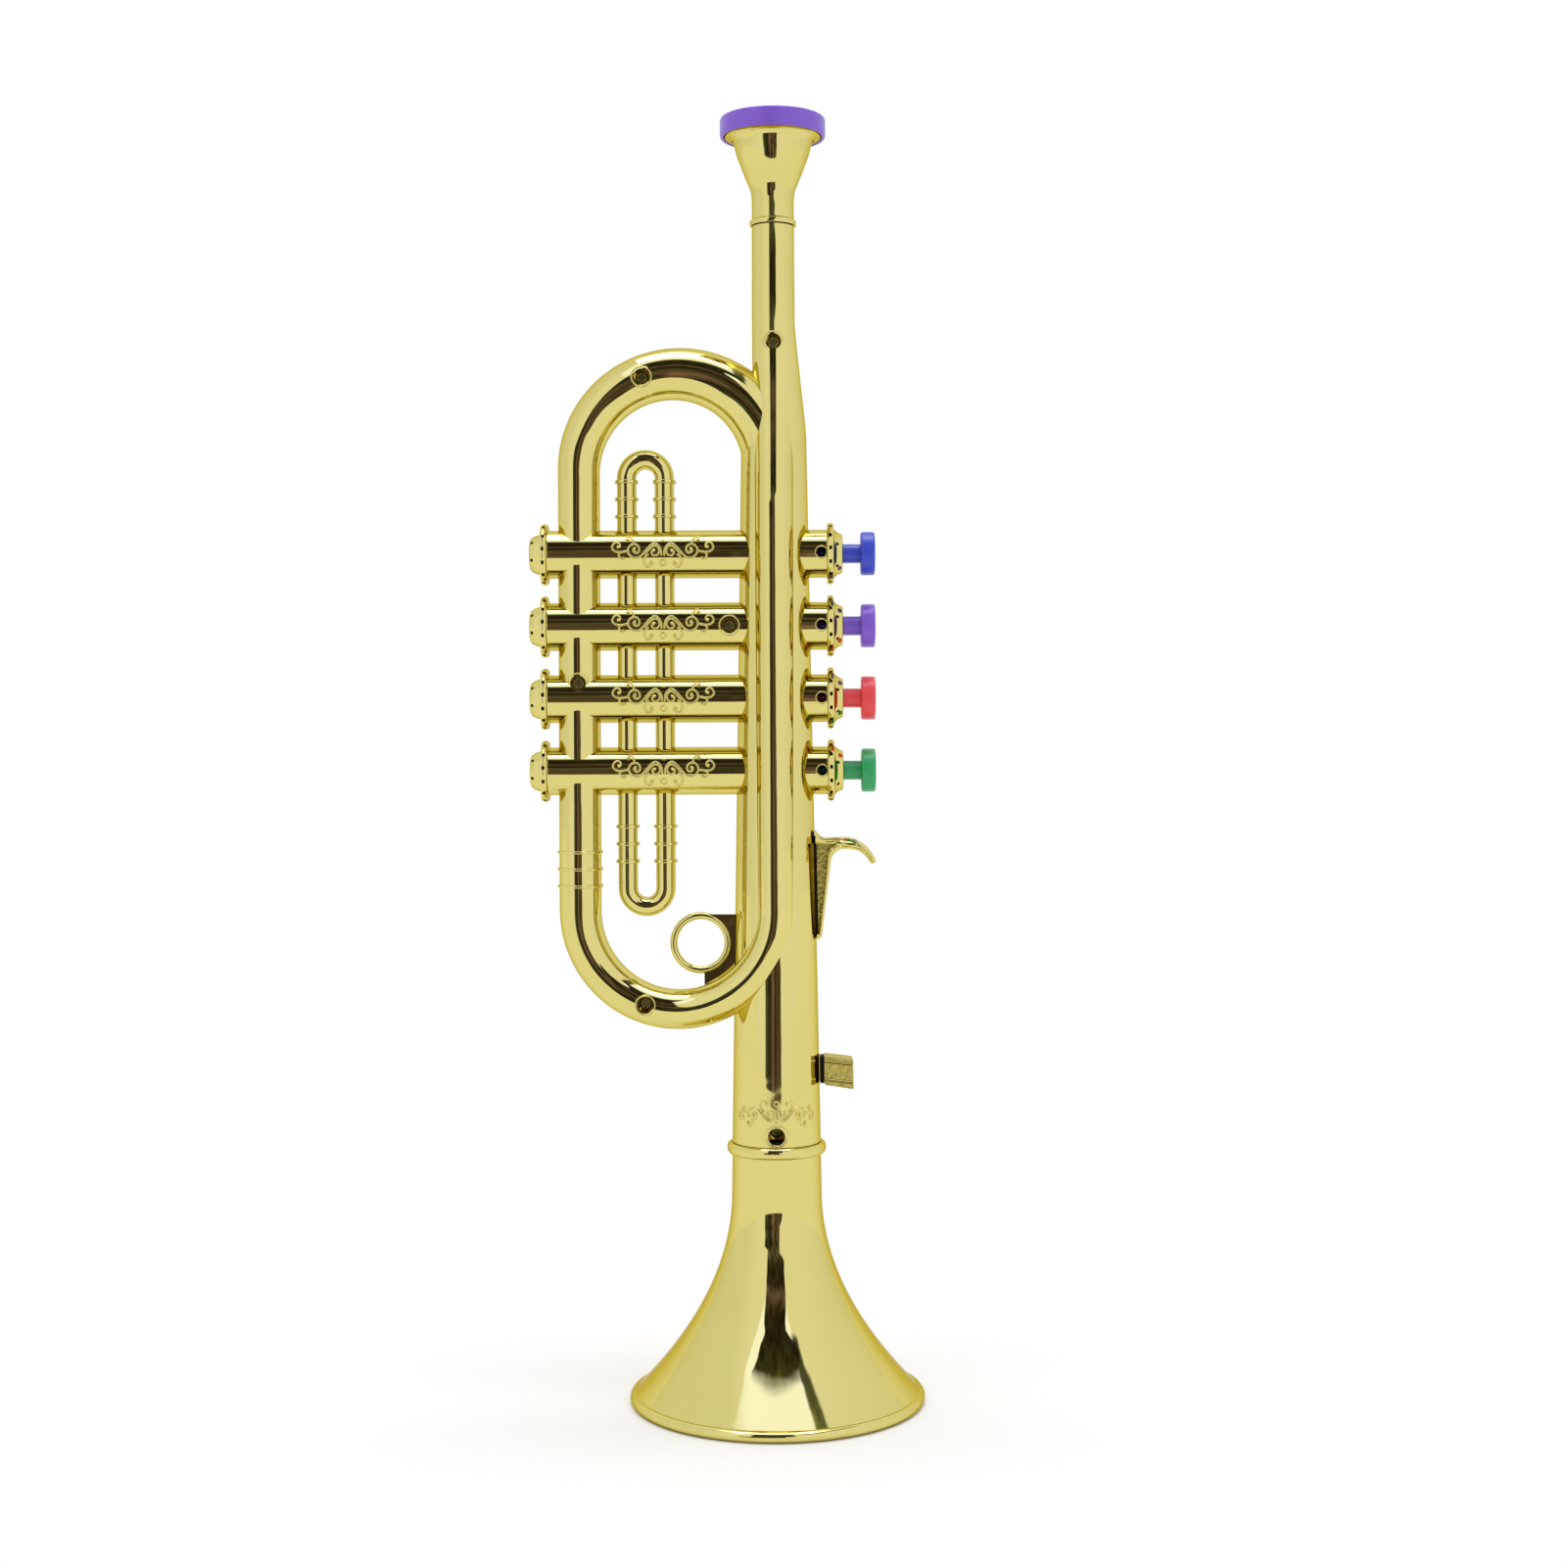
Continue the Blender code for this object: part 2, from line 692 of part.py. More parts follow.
def hollows():
    """The spaces inside the tubing, one solid each."""
    receiver = [((0, 0, BODY_TOP + OVERRUN), RECEIVER_RADIUS - WALL)]
    receiver.append(((0, 0, LEAD_START), RECEIVER_RADIUS - WALL))
    spaces = [
        tube("receiver_bore", receiver, TURNED_SIDES),
        upper_lead_bore(),
        lower_bore(),
        upper_tubing("upper_bore", WALL, BOW_STEPS - 4, BORE_SIDES),
    ]
    inner = BARREL_RADIUS - WALL
    for height in VALVE_HEIGHTS:
        left = (-BARREL_END - COLLAR_WIDTH / 2, 0, height)
        wall = (-bell_tube_radius(height), 0, height)
        spaces.append(rod("barrel_bore", left, wall, inner, BORE_SIDES))
        inside = (box_depth() - PORT_WALL, 0, height)
        cap = (NECK_END + COLLAR_WIDTH, 0, height)
        spaces.append(rod("neck_bore", inside, cap, inner, HOLE_SIDES))
    return spaces


def stem_holes():
    """The holes in the right caps that the stems slide in."""
    radius = STEM_RADIUS + FIT_GAP
    holes = []
    for height in VALVE_HEIGHTS:
        start = (NECK_END, 0, height)
        end = (RIGHT_REACH + OVERRUN, 0, height)
        holes.append(rod("stem_hole", start, end, radius))
    return holes


def sound_holes():
    """The small round hole in the front of each neck."""
    holes = []
    for height in VALVE_HEIGHTS:
        start = (SOUND_HOLE_REACH, -BARREL_RADIUS - OVERRUN, height)
        end = (SOUND_HOLE_REACH, -BARREL_RADIUS + OVERRUN, height)
        holes.append(rod("sound_hole", start, end, SOUND_HOLE_RADIUS, PEG_SIDES))
    return holes


def shelves():
    """The two ring shelves in the bore that hold the wind box between them."""
    places = (
        (box_top() + FIT_GAP, INLET_RADIUS + FIT_GAP),
        (box_foot() - FIT_GAP - SHELF_THICKNESS, BOX_HALF_WIDTH + 2 * BOX_WALL),
    )
    made = []
    for foot, hole in places:
        outer = bell_tube_radius(foot) - WALL / 2
        top = foot + SHELF_THICKNESS
        profile = [(hole, top), (outer, top), (outer, foot), (hole, foot)]
        made.append(off_seam(turned("shelf", profile, TURNED_SIDES), TURNED_SIDES))
    return made


def cradles():
    """Ribs from both shells that stop the wind box from turning."""
    made = []
    near = BOX_HALF_WIDTH + FIT_GAP
    half = CRADLE_HALF_WIDTH
    for upper, lower in zip(VALVE_HEIGHTS, VALVE_HEIGHTS[1:]):
        foot = (upper + lower - SHELF_THICKNESS) / 2
        top = foot + SHELF_THICKNESS
        rear = bell_tube_radius(foot) - WALL / 2
        front = LEAD_DEPTH + LEAD_RADIUS - WALL / 2
        made.append(box("rear_cradle", (-half, near, foot), (half, rear, top)))
        made.append(box("front_cradle", (-half, -front, foot), (half, -near, top)))
    return made


def on_bow(centre_height, degrees):
    """The X and height of a bow's centre line at an angle from +X."""
    angle = math.radians(degrees)
    bow_radius = BOW_SPAN / 2
    across = -bow_radius + bow_radius * math.cos(angle)
    return across, centre_height + bow_radius * math.sin(angle)


def screw_places():
    """For each screw its X and height, and the depth and radius of the tube it is in."""
    upper_bow = on_bow(UPPER_BOW_HEIGHT, UPPER_SCREW_DEGREES)
    lower_bow = on_bow(LOWER_BOW_HEIGHT, -LOWER_SCREW_DEGREES)
    upper_share = 1 - UPPER_SCREW_DEGREES / 180
    upper_radius = TUBE_RADIUS * (BOW_END_RADIUS / TUBE_RADIUS) ** upper_share
    lower_depth = -LEAD_DEPTH * (1 + math.cos(math.radians(LOWER_SCREW_DEGREES))) / 2
    barrel_across = -bell_tube_radius(VALVE_HEIGHTS[1]) - SCREW_SEAT_RADIUS - FIT_GAP
    tube_height = VALVE_HEIGHTS[2] + BARREL_RADIUS * TUBE_SCREW_SHARE
    foot_height = BODY_FOOT + SCREW_SEAT_RADIUS + BOX_WALL
    return [
        ((0, LEAD_START + TOP_SCREW_RISE), 0, RECEIVER_RADIUS),
        (upper_bow, 0, upper_radius),
        ((barrel_across, VALVE_HEIGHTS[1]), 0, BARREL_RADIUS),
        ((-BOW_SPAN, tube_height), 0, TUBE_RADIUS),
        (lower_bow, lower_depth, TUBE_RADIUS),
        ((0, foot_height), 0, FOOT_RADIUS),
    ]


def pillars():
    """The round pillar round each screw, through both shells."""
    made = []
    for (across, height), depth, radius in screw_places():
        reach = radius - PILLAR_INSET
        start = (across, depth - reach, height)
        end = (across, depth + reach, height)
        made.append(rod("pillar", start, end, PILLAR_RADIUS))
    low = (-BELL_RADIUS, -BELL_RADIUS, 0)
    high = (BELL_RADIUS, BELL_RADIUS, BODY_FOOT + FIT_GAP)
    cut(made[-1], box("below_foot", low, high))
    return made


def screw_seats():
    """The recess, seat and hole for each screw, one solid each."""
    seats = []
    for (across, height), depth, radius in screw_places():
        mouth = radius - depth + OVERRUN
        tip = SEAT_TO_SEAM - FIT_GAP - SCREW_LENGTH - FIT_GAP
        profile = [
            (0, mouth),
            (SCREW_SEAT_RADIUS, mouth),
            (SCREW_SEAT_RADIUS, SEAT_TO_SEAM),
            (SCREW_HOLE_RADIUS, SEAT_TO_SEAM),
            (SCREW_HOLE_RADIUS, tip),
            (0, tip),
        ]
        seat = off_seam(turned("screw_seat", profile, HOLE_SIDES), HOLE_SIDES)
        seats.append(aim(seat, (across, 0, height), (0, -1, 0)))
    return seats


def screw(name, place):
    """A pan head screw with its head up against the seat, turned about -Y."""
    (across, height), _, _ = place
    seat = SEAT_TO_SEAM + FIT_GAP
    top = seat + SCREW_HEAD_HEIGHT
    profile = [
        (0, top),
        (SCREW_HEAD_RADIUS * SCREW_CROWN_SHARE, top),
        (SCREW_HEAD_RADIUS, top - SCREW_HEAD_HEIGHT * SCREW_EDGE_SHARE),
        (SCREW_HEAD_RADIUS, seat),
        (SCREW_SHANK_RADIUS, seat),
        (SCREW_SHANK_RADIUS, seat - SCREW_LENGTH * SCREW_TIP_SHARE),
        (0, seat - SCREW_LENGTH),
    ]
    return aim(turned(name, profile, HOLE_SIDES), (across, 0, height), (0, -1, 0))


def peg_heights():
    """Each peg's height and the side of the bell tube it enters."""
    hook_foot = HOOK_TOP - HOOK_HEIGHT
    _, ring_height = ring_place()
    return {
        "finger_hook": [(hook_foot + HOOK_HEIGHT * share, 1) for share in HOOK_PEG_SHARES],
        "finger_ring": [(ring_height, -1)],
        "lyre_socket": [(SOCKET_TOP - SOCKET_HEIGHT / 2, 1)],
    }


def peg_holes():
    """The holes along the seam for the pegs of the hook, the ring and the socket."""
    holes = []
    for places in peg_heights().values():
        for height, side in places:
            outside = bell_tube_radius(height) + OVERRUN
            inside = bell_tube_radius(height) - WALL - OVERRUN
            start = (side * inside, 0, height)
            end = (side * outside, 0, height)
            holes.append(rod("peg_hole", start, end, PEG_RADIUS + FIT_GAP, PEG_SIDES))
    return holes


def pegs(piece):
    """The pegs that hold a piece in the bell tube's wall."""
    made = []
    for height, side in peg_heights()[piece]:
        surface = bell_tube_radius(height)
        start = (side * (surface + 2 * FIT_GAP), 0, height)
        end = (side * (surface - PEG_LENGTH), 0, height)
        made.append(rod("peg", start, end, PEG_RADIUS, PEG_SIDES))
    return made


def body():
    """Both shells in one, hollow, with every hole, shelf and pillar."""
    outside = join(
        bell_tube("body", 0),
        tube("lower_tubing", lead_pipe_stations(0) + lower_tubing_stations(0)),
        upper_tubing("upper_tubing", 0),
        tuning_slide(),
        *slide_beads(),
        *tube_rings(),
        *[barrel(height) for height in VALVE_HEIGHTS],
    )
    bore = join(bell_tube("bore", WALL, BODY_FOOT - OVERRUN), *hollows())
    cut(outside, bore)
    join(outside, *shelves(), *cradles(), *pillars())
    return cut(outside, *screw_seats(), *stem_holes(), *sound_holes(), *peg_holes())


def half_shell(name, whole, side):
    """The half of the body in front of the seam (side -1) or behind it (side 1)."""
    half = new_object(name, whole.data.copy())
    reach = BELL_DIAMETER
    seam = side * SEAM_GAP / 2
    low = (-reach, min(seam, side * reach), 0)
    high = (reach, max(seam, side * reach), LENGTH)
    return combine(half, [box("half_space", low, high)], "INTERSECT")


def flare_radius(height):
    """The bell's outer radius in its flare, which opens with the square of the fall."""
    lip_top = 2 * LIP_RADIUS
    spread = (BELL_RADIUS - LIP_RADIUS - THROAT_RADIUS) / (1 - lip_top / FLARE_HEIGHT) ** 2
    return THROAT_RADIUS + spread * (1 - height / FLARE_HEIGHT) ** 2


def flare_inside(height):
    """The inner point one wall away from the flare's outer point at a height."""
    step = WALL / 10
    slope = (flare_radius(height + step) - flare_radius(height - step)) / (2 * step)
    length = math.hypot(1, slope)
    return flare_radius(height) - WALL / length, height + WALL * slope / length


def bell():
    """The flare with its rolled lip, its bead and the spigot that enters the shells."""
    spigot = FOOT_RADIUS - WALL - FIT_GAP
    spigot_top = JOINT_HEIGHT + SPIGOT_HEIGHT
    bead = BAND_RADIUS - THROAT_RADIUS
    profile = [
        (spigot - WALL, spigot_top),
        (spigot, spigot_top),
        (spigot, JOINT_HEIGHT),
        (THROAT_RADIUS, JOINT_HEIGHT),
    ]
    for bead_share, fall_share in BAND_SHARES:
        profile.append(
            (THROAT_RADIUS + bead * bead_share, JOINT_HEIGHT - BAND_HEIGHT * fall_share)
        )
    for share in FLARE_SHARES:
        height = FLARE_HEIGHT * share
        profile.append((flare_radius(height), height))
    for degrees in (60, 0, -45, -90):
        angle = math.radians(degrees)
        across = BELL_RADIUS - LIP_RADIUS + LIP_RADIUS * math.cos(angle)
        profile.append((across, LIP_RADIUS + LIP_RADIUS * math.sin(angle)))
    profile.append((BELL_RADIUS - LIP_RADIUS - LIP_LAND, 0))
    for share in reversed(FLARE_SHARES[1::2]):
        profile.append(flare_inside(FLARE_HEIGHT * share))
    profile.append(flare_inside(FLARE_HEIGHT))
    profile.append((spigot - WALL, BELL_HEIGHT))
    obj = turned("bell", profile, BELL_SIDES)
    half = PILLAR_RADIUS + FIT_GAP
    low = (-half, -BELL_RADIUS, BODY_FOOT)
    high = (half, BELL_RADIUS, spigot_top + OVERRUN)
    return cut(obj, box("notch", low, high))


def mouthpiece():
    """The cup with its band, the spigot in the receiver and the collar in the rim."""
    collar_top = RIM_FOOT + CUP_COLLAR_HEIGHT
    spigot = RECEIVER_RADIUS - WALL - FIT_GAP
    spigot_foot = MOUTHPIECE_FOOT - MOUTHPIECE_SPIGOT
    band = MOUTHPIECE_BAND_RADIUS - CUP_NECK_RADIUS
    band_top = MOUTHPIECE_FOOT + MOUTHPIECE_BAND_HEIGHT
    cup_top = RIM_FOOT - FIT_GAP
    profile = [
        (CUP_COLLAR_RADIUS - WALL, collar_top),
        (CUP_COLLAR_RADIUS, collar_top),
        (CUP_COLLAR_RADIUS, cup_top),
        (CUP_RADIUS, cup_top),
    ]
    for share in CUP_SHARES:
        eased = share * share * (3 - 2 * share)
        radius = CUP_NECK_RADIUS + (CUP_RADIUS - CUP_NECK_RADIUS) * eased
        profile.append((radius, CUP_FOOT + (cup_top - CUP_FOOT) * share))
    profile += [
        (CUP_NECK_RADIUS, band_top),
        (CUP_NECK_RADIUS + band, band_top - MOUTHPIECE_BAND_HEIGHT * MOUTHPIECE_BAND_SHARE),
        (CUP_NECK_RADIUS + band, MOUTHPIECE_FOOT),
        (spigot, MOUTHPIECE_FOOT),
        (spigot, spigot_foot),
        (spigot - WALL, spigot_foot),
        (MOUTHPIECE_BORE, CUP_FOOT),
    ]
    bowl = CUP_COLLAR_RADIUS - WALL
    bowl_foot = CUP_FOOT + CUP_HEIGHT * BOWL_FOOT_SHARE
    for share in BOWL_SHARES:
        radius = MOUTHPIECE_BORE + (bowl - MOUTHPIECE_BORE) * math.sin(share * math.pi / 2)
        profile.append((radius, bowl_foot + (cup_top - bowl_foot) * share))
    profile.append((bowl, cup_top))
    return turned("mouthpiece", profile, TURNED_SIDES)


def mouthpiece_rim():
    """The ring that caps the cup, with a recess for the cup's collar."""
    radius = RIM_DIAMETER / 2
    rounding = RIM_ROUNDING
    corner = RIM_ROUNDING * ROUNDING_SHARE
    recess = CUP_COLLAR_RADIUS + FIT_GAP
    recess_top = RIM_FOOT + CUP_COLLAR_HEIGHT + FIT_GAP
    profile = [
        (RIM_MOUTH_RADIUS + 2 * rounding, LENGTH),
        (radius - rounding, LENGTH),
        (radius - corner, LENGTH - corner),
        (radius, LENGTH - rounding),
        (radius, RIM_FOOT + rounding),
        (radius - corner, RIM_FOOT + corner),
        (radius - rounding, RIM_FOOT),
        (recess, RIM_FOOT),
        (recess, recess_top),
        (RIM_MOUTH_RADIUS, recess_top),
        (RIM_MOUTH_RADIUS, LENGTH - rounding),
    ]
    return turned("mouthpiece_rim", profile, RIM_SIDES)


def piston(name, height):
    """A button with its disc, stem, stop collar and the headed pin for its pad."""
    disc_left = RIGHT_REACH + PRESSED_GAP + TRAVEL
    disc_right = disc_left + BUTTON_THICKNESS
    stop_right = stop_left() + STOP_WIDTH
    head_right = pad_left() - FIT_GAP
    head_left = head_right - PIN_HEAD_WIDTH
    profile = [
        (0, disc_right),
        (BUTTON_RADIUS - BUTTON_ROUNDING, disc_right),
        (BUTTON_RADIUS, disc_right - BUTTON_ROUNDING),
        (BUTTON_RADIUS, disc_left + BUTTON_ROUNDING),
        (BUTTON_RADIUS - BUTTON_ROUNDING, disc_left),
        (STEM_RADIUS, disc_left),
        (STEM_RADIUS, stop_right),
        (STOP_RADIUS, stop_right),
        (STOP_RADIUS, stop_left()),
        (PIN_RADIUS, stop_left()),
        (PIN_RADIUS, head_right),
        (PIN_HEAD_RADIUS, head_right),
        (PIN_HEAD_RADIUS, head_left),
        (0, head_left),
    ]
    return aim(turned(name, profile, TUBE_SIDES), (0, 0, height), (1, 0, 0))


def pad_left():
    """The X of the left face of a pad that shuts its port."""
    return box_depth() - PORT_WALL - FIT_GAP - PAD_THICKNESS


def pad(name, height):
    """A rubber ring on the pin, which shuts the port from inside the cell."""
    left = pad_left()
    right = left + PAD_THICKNESS
    hole = PIN_RADIUS + FIT_GAP
    profile = [(hole, right), (PAD_RADIUS, right), (PAD_RADIUS, left), (hole, left)]
    return aim(turned(name, profile, HOLE_SIDES), (0, 0, height), (1, 0, 0))


def spring(name, height):
    """A compression spring round the pin, from the wind box's wall to the stop collar."""
    wire = SPRING_WIRE / 2
    start = box_depth() + FIT_GAP + wire
    end = stop_left() - FIT_GAP - wire
    count = round(SPRING_TURNS * SPRING_POINTS)
    stations = []
    for number in range(count + 1):
        angle = 2 * math.pi * number / SPRING_POINTS
        along = start + (end - start) * number / count
        place = (along, SPRING_RADIUS * math.cos(angle), height + SPRING_RADIUS * math.sin(angle))
        stations.append((place, wire))
    return tube(name, stations, SPRING_SIDES)


def wind_box():
    """The tray of four cells with their ports, and the inlet that air enters by."""
    depth = box_depth()
    left = box_left()
    half = BOX_HALF_WIDTH
    inner = half - BOX_WALL
    floor = depth - PORT_WALL
    tray = box("wind_box", (left, -half, box_foot()), (depth, half, box_top()))
    lid = box("lid", (-depth, -half, box_top() - PORT_WALL), (left + OVERRUN, half, box_top()))
    neck_foot = (0, 0, box_top() - PORT_WALL / 2)
    neck_top = (0, 0, box_top() + INLET_HEIGHT)
    join(tray, lid, rod("inlet", neck_foot, neck_top, INLET_RADIUS))
    spaces = []
    for height in VALVE_HEIGHTS:
        low = (left - OVERRUN, -inner, height - CELL_HALF_HEIGHT)
        high = (floor, inner, height + CELL_HALF_HEIGHT)
        spaces.append(box("cell", low, high))
        port_start = (floor - OVERRUN, 0, height)
        port_end = (depth + OVERRUN, 0, height)
        spaces.append(rod("port", port_start, port_end, PORT_RADIUS))
    low = (left - OVERRUN, -inner, plenum_foot())
    high = (floor, inner, plenum_foot() + PLENUM_HEIGHT)
    spaces.append(box("plenum", low, high))
    bore_foot = (0, 0, plenum_foot() + PLENUM_HEIGHT / 2)
    bore_top = (0, 0, box_top() + INLET_HEIGHT + OVERRUN)
    spaces.append(rod("inlet_bore", bore_foot, bore_top, INLET_BORE))
    return cut(tray, *spaces)


def reed_plate():
    """The plate that closes the cells, with a slot for each reed and a window for air."""
    left = plate_left()
    right = left + REED_PLATE_THICKNESS
    half = BOX_HALF_WIDTH
    plate_solid = box("reed_plate", (left, -half, box_foot()), (right, half, plate_top()))
    slots = []
    for height in VALVE_HEIGHTS:
        low = (left - OVERRUN, -SLOT_WIDTH / 2, height - SLOT_LENGTH / 2)
        high = (right + OVERRUN, SLOT_WIDTH / 2, height + SLOT_LENGTH / 2)
        slots.append(box("slot", low, high))
    inner = half - 2 * BOX_WALL
    low = (left - OVERRUN, -inner, plenum_foot() + FIT_GAP)
    high = (right + OVERRUN, inner, plate_top() - BOX_WALL)
    slots.append(box("window", low, high))
    return cut(plate_solid, *slots)


def reed(name, height):
    """A brass tongue over its slot, with its root beyond the slot's top end."""
    right = plate_left() - FIT_GAP
    left = right - REED_THICKNESS
    root = height + SLOT_LENGTH / 2 + (REED_LENGTH - SLOT_LENGTH)
    low = (left, -REED_WIDTH / 2, root - REED_LENGTH)
    high = (right, REED_WIDTH / 2, root)
    return box(name, low, high)


def wind_cover():
    """The cover over the reeds, which leads air from the inlet down past all four."""
    right = plate_left() - FIT_GAP
    half = BOX_HALF_WIDTH
    cover = box("wind_cover", (-box_depth(), -half, box_foot()), (right, half, plate_top()))
    low = (-box_depth() + BOX_WALL, BOX_WALL - half, box_foot() + BOX_WALL)
    high = (right + OVERRUN, half - BOX_WALL, plate_top() - BOX_WALL)
    return cut(cover, box("channel", low, high))


def wind_gasket():
    """The rubber ring round the inlet, on the upper shelf."""
    foot = gasket_foot()
    top = foot + GASKET_THICKNESS
    outer = bell_tube_radius(top) - WALL - FIT_GAP
    hole = INLET_RADIUS + FIT_GAP
    profile = [(hole, top), (outer, top), (outer, foot), (hole, foot)]
    return turned("wind_gasket", profile, TURNED_SIDES)


def seat_on_bell_tube(piece, name):
    """Trim a piece to the bell tube's outside, and give it its pegs."""
    cut(piece, bell_tube("bell_tube_outside", -FIT_GAP))
    return join(piece, *pegs(name))


def shaped(shares, left, right, foot, top):
    """Points from shares of a width and a height."""
    return [(left + (right - left) * x, foot + (top - foot) * z) for x, z in shares]


def finger_hook():
    """The hook for the little finger, with a pocket in each side of its wedge."""
    name = "finger_hook"
    frame = (
        bell_tube_radius(HOOK_TOP),
        HOOK_REACH,
        HOOK_TOP - HOOK_HEIGHT,
        HOOK_TOP,
    )
    hook = plate(name, shaped(HOOK_OUTLINE_SHARES, *frame), HOOK_WIDTH)
    pocket = shaped(HOOK_POCKET_SHARES, *frame)
    pockets = []
    for side in (-1, 1):
        tool = plate("pocket", pocket, HOOK_WIDTH)
        tool.location.y = side * (HOOK_WIDTH - HOOK_POCKET_DEPTH)
        pockets.append(tool)
    cut(hook, *pockets)
    return seat_on_bell_tube(hook, name)


def finger_ring():
    """The ring for a finger, on a thin web against the bell tube."""
    name = "finger_ring"
    centre, height = ring_place()
    inside = -bell_tube_radius(height) + WALL
    top = height + RING_RADIUS - WEB_TOP_INSET
    clear = BOW_SPAN / 2 - TUBE_RADIUS - FIT_GAP
    foot_left = centre + WEB_FOOT_INSET
    first = math.degrees(math.acos((foot_left + BOW_SPAN / 2) / clear))
    last = math.degrees(math.acos((inside + BOW_SPAN / 2) / clear))
    outline = [(inside, top), (centre, top), (foot_left, height)]
    for step in range(WEB_STEPS + 1):
        angle = -math.radians(first + (last - first) * step / WEB_STEPS)
        across = -BOW_SPAN / 2 + clear * math.cos(angle)
        outline.append((across, LOWER_BOW_HEIGHT + clear * math.sin(angle)))
    web = plate(name, outline, WEB_THICKNESS)
    wire = (RING_RADIUS - RING_BORE) / 2
    middle = (RING_RADIUS + RING_BORE) / 2
    front = (centre, -RING_RADIUS, height)
    rear = (centre, RING_RADIUS, height)
    cut(web, rod("ring_bore", front, rear, middle, TURNED_SIDES))
    stations = []
    for number in range(RIM_SIDES):
        angle = 2 * math.pi * (number + 0.5) / RIM_SIDES
        across = centre + middle * math.cos(angle)
        stations.append(((across, 0, height + middle * math.sin(angle)), wire))
    join(web, tube("ring", stations, SPRING_SIDES, closed=True))
    return seat_on_bell_tube(web, name)


def lyre_socket():
    """The grooved stub, a little tilted, on a narrow neck against the bell tube."""
    name = "lyre_socket"
    foot = SOCKET_TOP - SOCKET_HEIGHT
    surface = bell_tube_radius(foot)
    left = surface + SOCKET_NECK_LENGTH
    frame = (left, SOCKET_REACH, foot, SOCKET_TOP)
    stub = plate(name, shaped(SOCKET_OUTLINE_SHARES, *frame), SOCKET_WIDTH)
    grooves = []
    for side in (-1, 1):
        for left_share, right_share in SOCKET_GROOVE_SHARES:
            start = Vector((left, side * SOCKET_WIDTH / 2, foot + SOCKET_HEIGHT * left_share))
            end = Vector((SOCKET_REACH, start.y, foot + SOCKET_HEIGHT * right_share))
            along = (end - start).normalized() * OVERRUN
            grooves.append(rod("groove", start - along, end + along, SOCKET_GROOVE, PEG_SIDES))
    cut(stub, *grooves)
    half = SOCKET_WIDTH / 2 - SOCKET_NECK_INSET
    left_foot = foot + SOCKET_HEIGHT * SOCKET_OUTLINE_SHARES[-1][1]
    low = (surface - WALL, -half, left_foot + SOCKET_NECK_INSET)
    high = (left + WALL, half, SOCKET_TOP - SOCKET_NECK_INSET)
    join(stub, box("neck", low, high))
    return seat_on_bell_tube(stub, name)


def finish(obj, material, collection, carrier):
    """Give a piece its material, shading and place in the file."""
    obj.data.materials.clear()
    obj.data.materials.append(material)
    obj.data.shade_smooth()
    obj.data.set_sharp_from_angle(angle=math.radians(SHARP_DEGREES))
    for old in list(obj.users_collection):
        old.objects.unlink(obj)
    collection.objects.link(obj)
    obj.parent = carrier


def main():
    clear_scene()
    collection = make_collection("toy_trumpet")
    carrier = bpy.data.objects.new("bell_axis", None)
    carrier.location = (BELL_AXIS_ACROSS, 0, 0)
    collection.objects.link(carrier)

    gold = make_material("metallised_gold", GOLD, 0.12, 1.0)
    steel = make_material("zinc_plated_steel", STEEL, 0.35, 1.0)
    brass = make_material("brass", BRASS, 0.25, 1.0)
    rubber = make_material("black_rubber", RUBBER, 0.7, 0.0)
    white = make_material("white_plastic", WHITE, 0.4, 0.0)
    colours = {"blue": BLUE, "purple": PURPLE, "red": RED, "green": GREEN}
    plastics = {
        colour: make_material(colour + "_plastic", value, 0.3, 0.0)
        for colour, value in colours.items()
    }

    whole = body()
    pieces = [
        (half_shell("front_shell", whole, -1), gold),
        (half_shell("rear_shell", whole, 1), gold),
        (bell(), gold),
        (mouthpiece(), gold),
        (mouthpiece_rim(), plastics["purple"]),
        (finger_hook(), gold),
        (finger_ring(), gold),
        (lyre_socket(), gold),
        (wind_box(), white),
        (reed_plate(), white),
        (wind_cover(), white),
        (wind_gasket(), rubber),
    ]
    bpy.data.objects.remove(whole, do_unlink=True)
    for number, (colour, height) in enumerate(zip(colours, VALVE_HEIGHTS), start=1):
        pieces += [
            (piston(f"button_{colour}", height), plastics[colour]),
            (pad(f"pad_{number}", height), rubber),
            (spring(f"spring_{number}", height), steel),
            (reed(f"reed_{number}", height), brass),
        ]
    for number, place in enumerate(screw_places(), start=1):
        pieces.append((screw(f"screw_{number}", place), steel))
    for obj, material in pieces:
        finish(obj, material, collection, carrier)


main()
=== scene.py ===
"""Toy trumpet: its moulded shells, turned pieces, relief and finishes, with studio and camera.

Shapes are worked out in millimetres from the bell's axis, with the mouthpiece up, the buttons
towards +X and the front shell towards -Y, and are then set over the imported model.
"""

import logging
import math
from dataclasses import dataclass, field
from enum import Enum, IntEnum
from functools import partial
from typing import Any, Callable, Sequence

import bmesh
import bpy
import numpy as np
from mathutils import Matrix, Vector


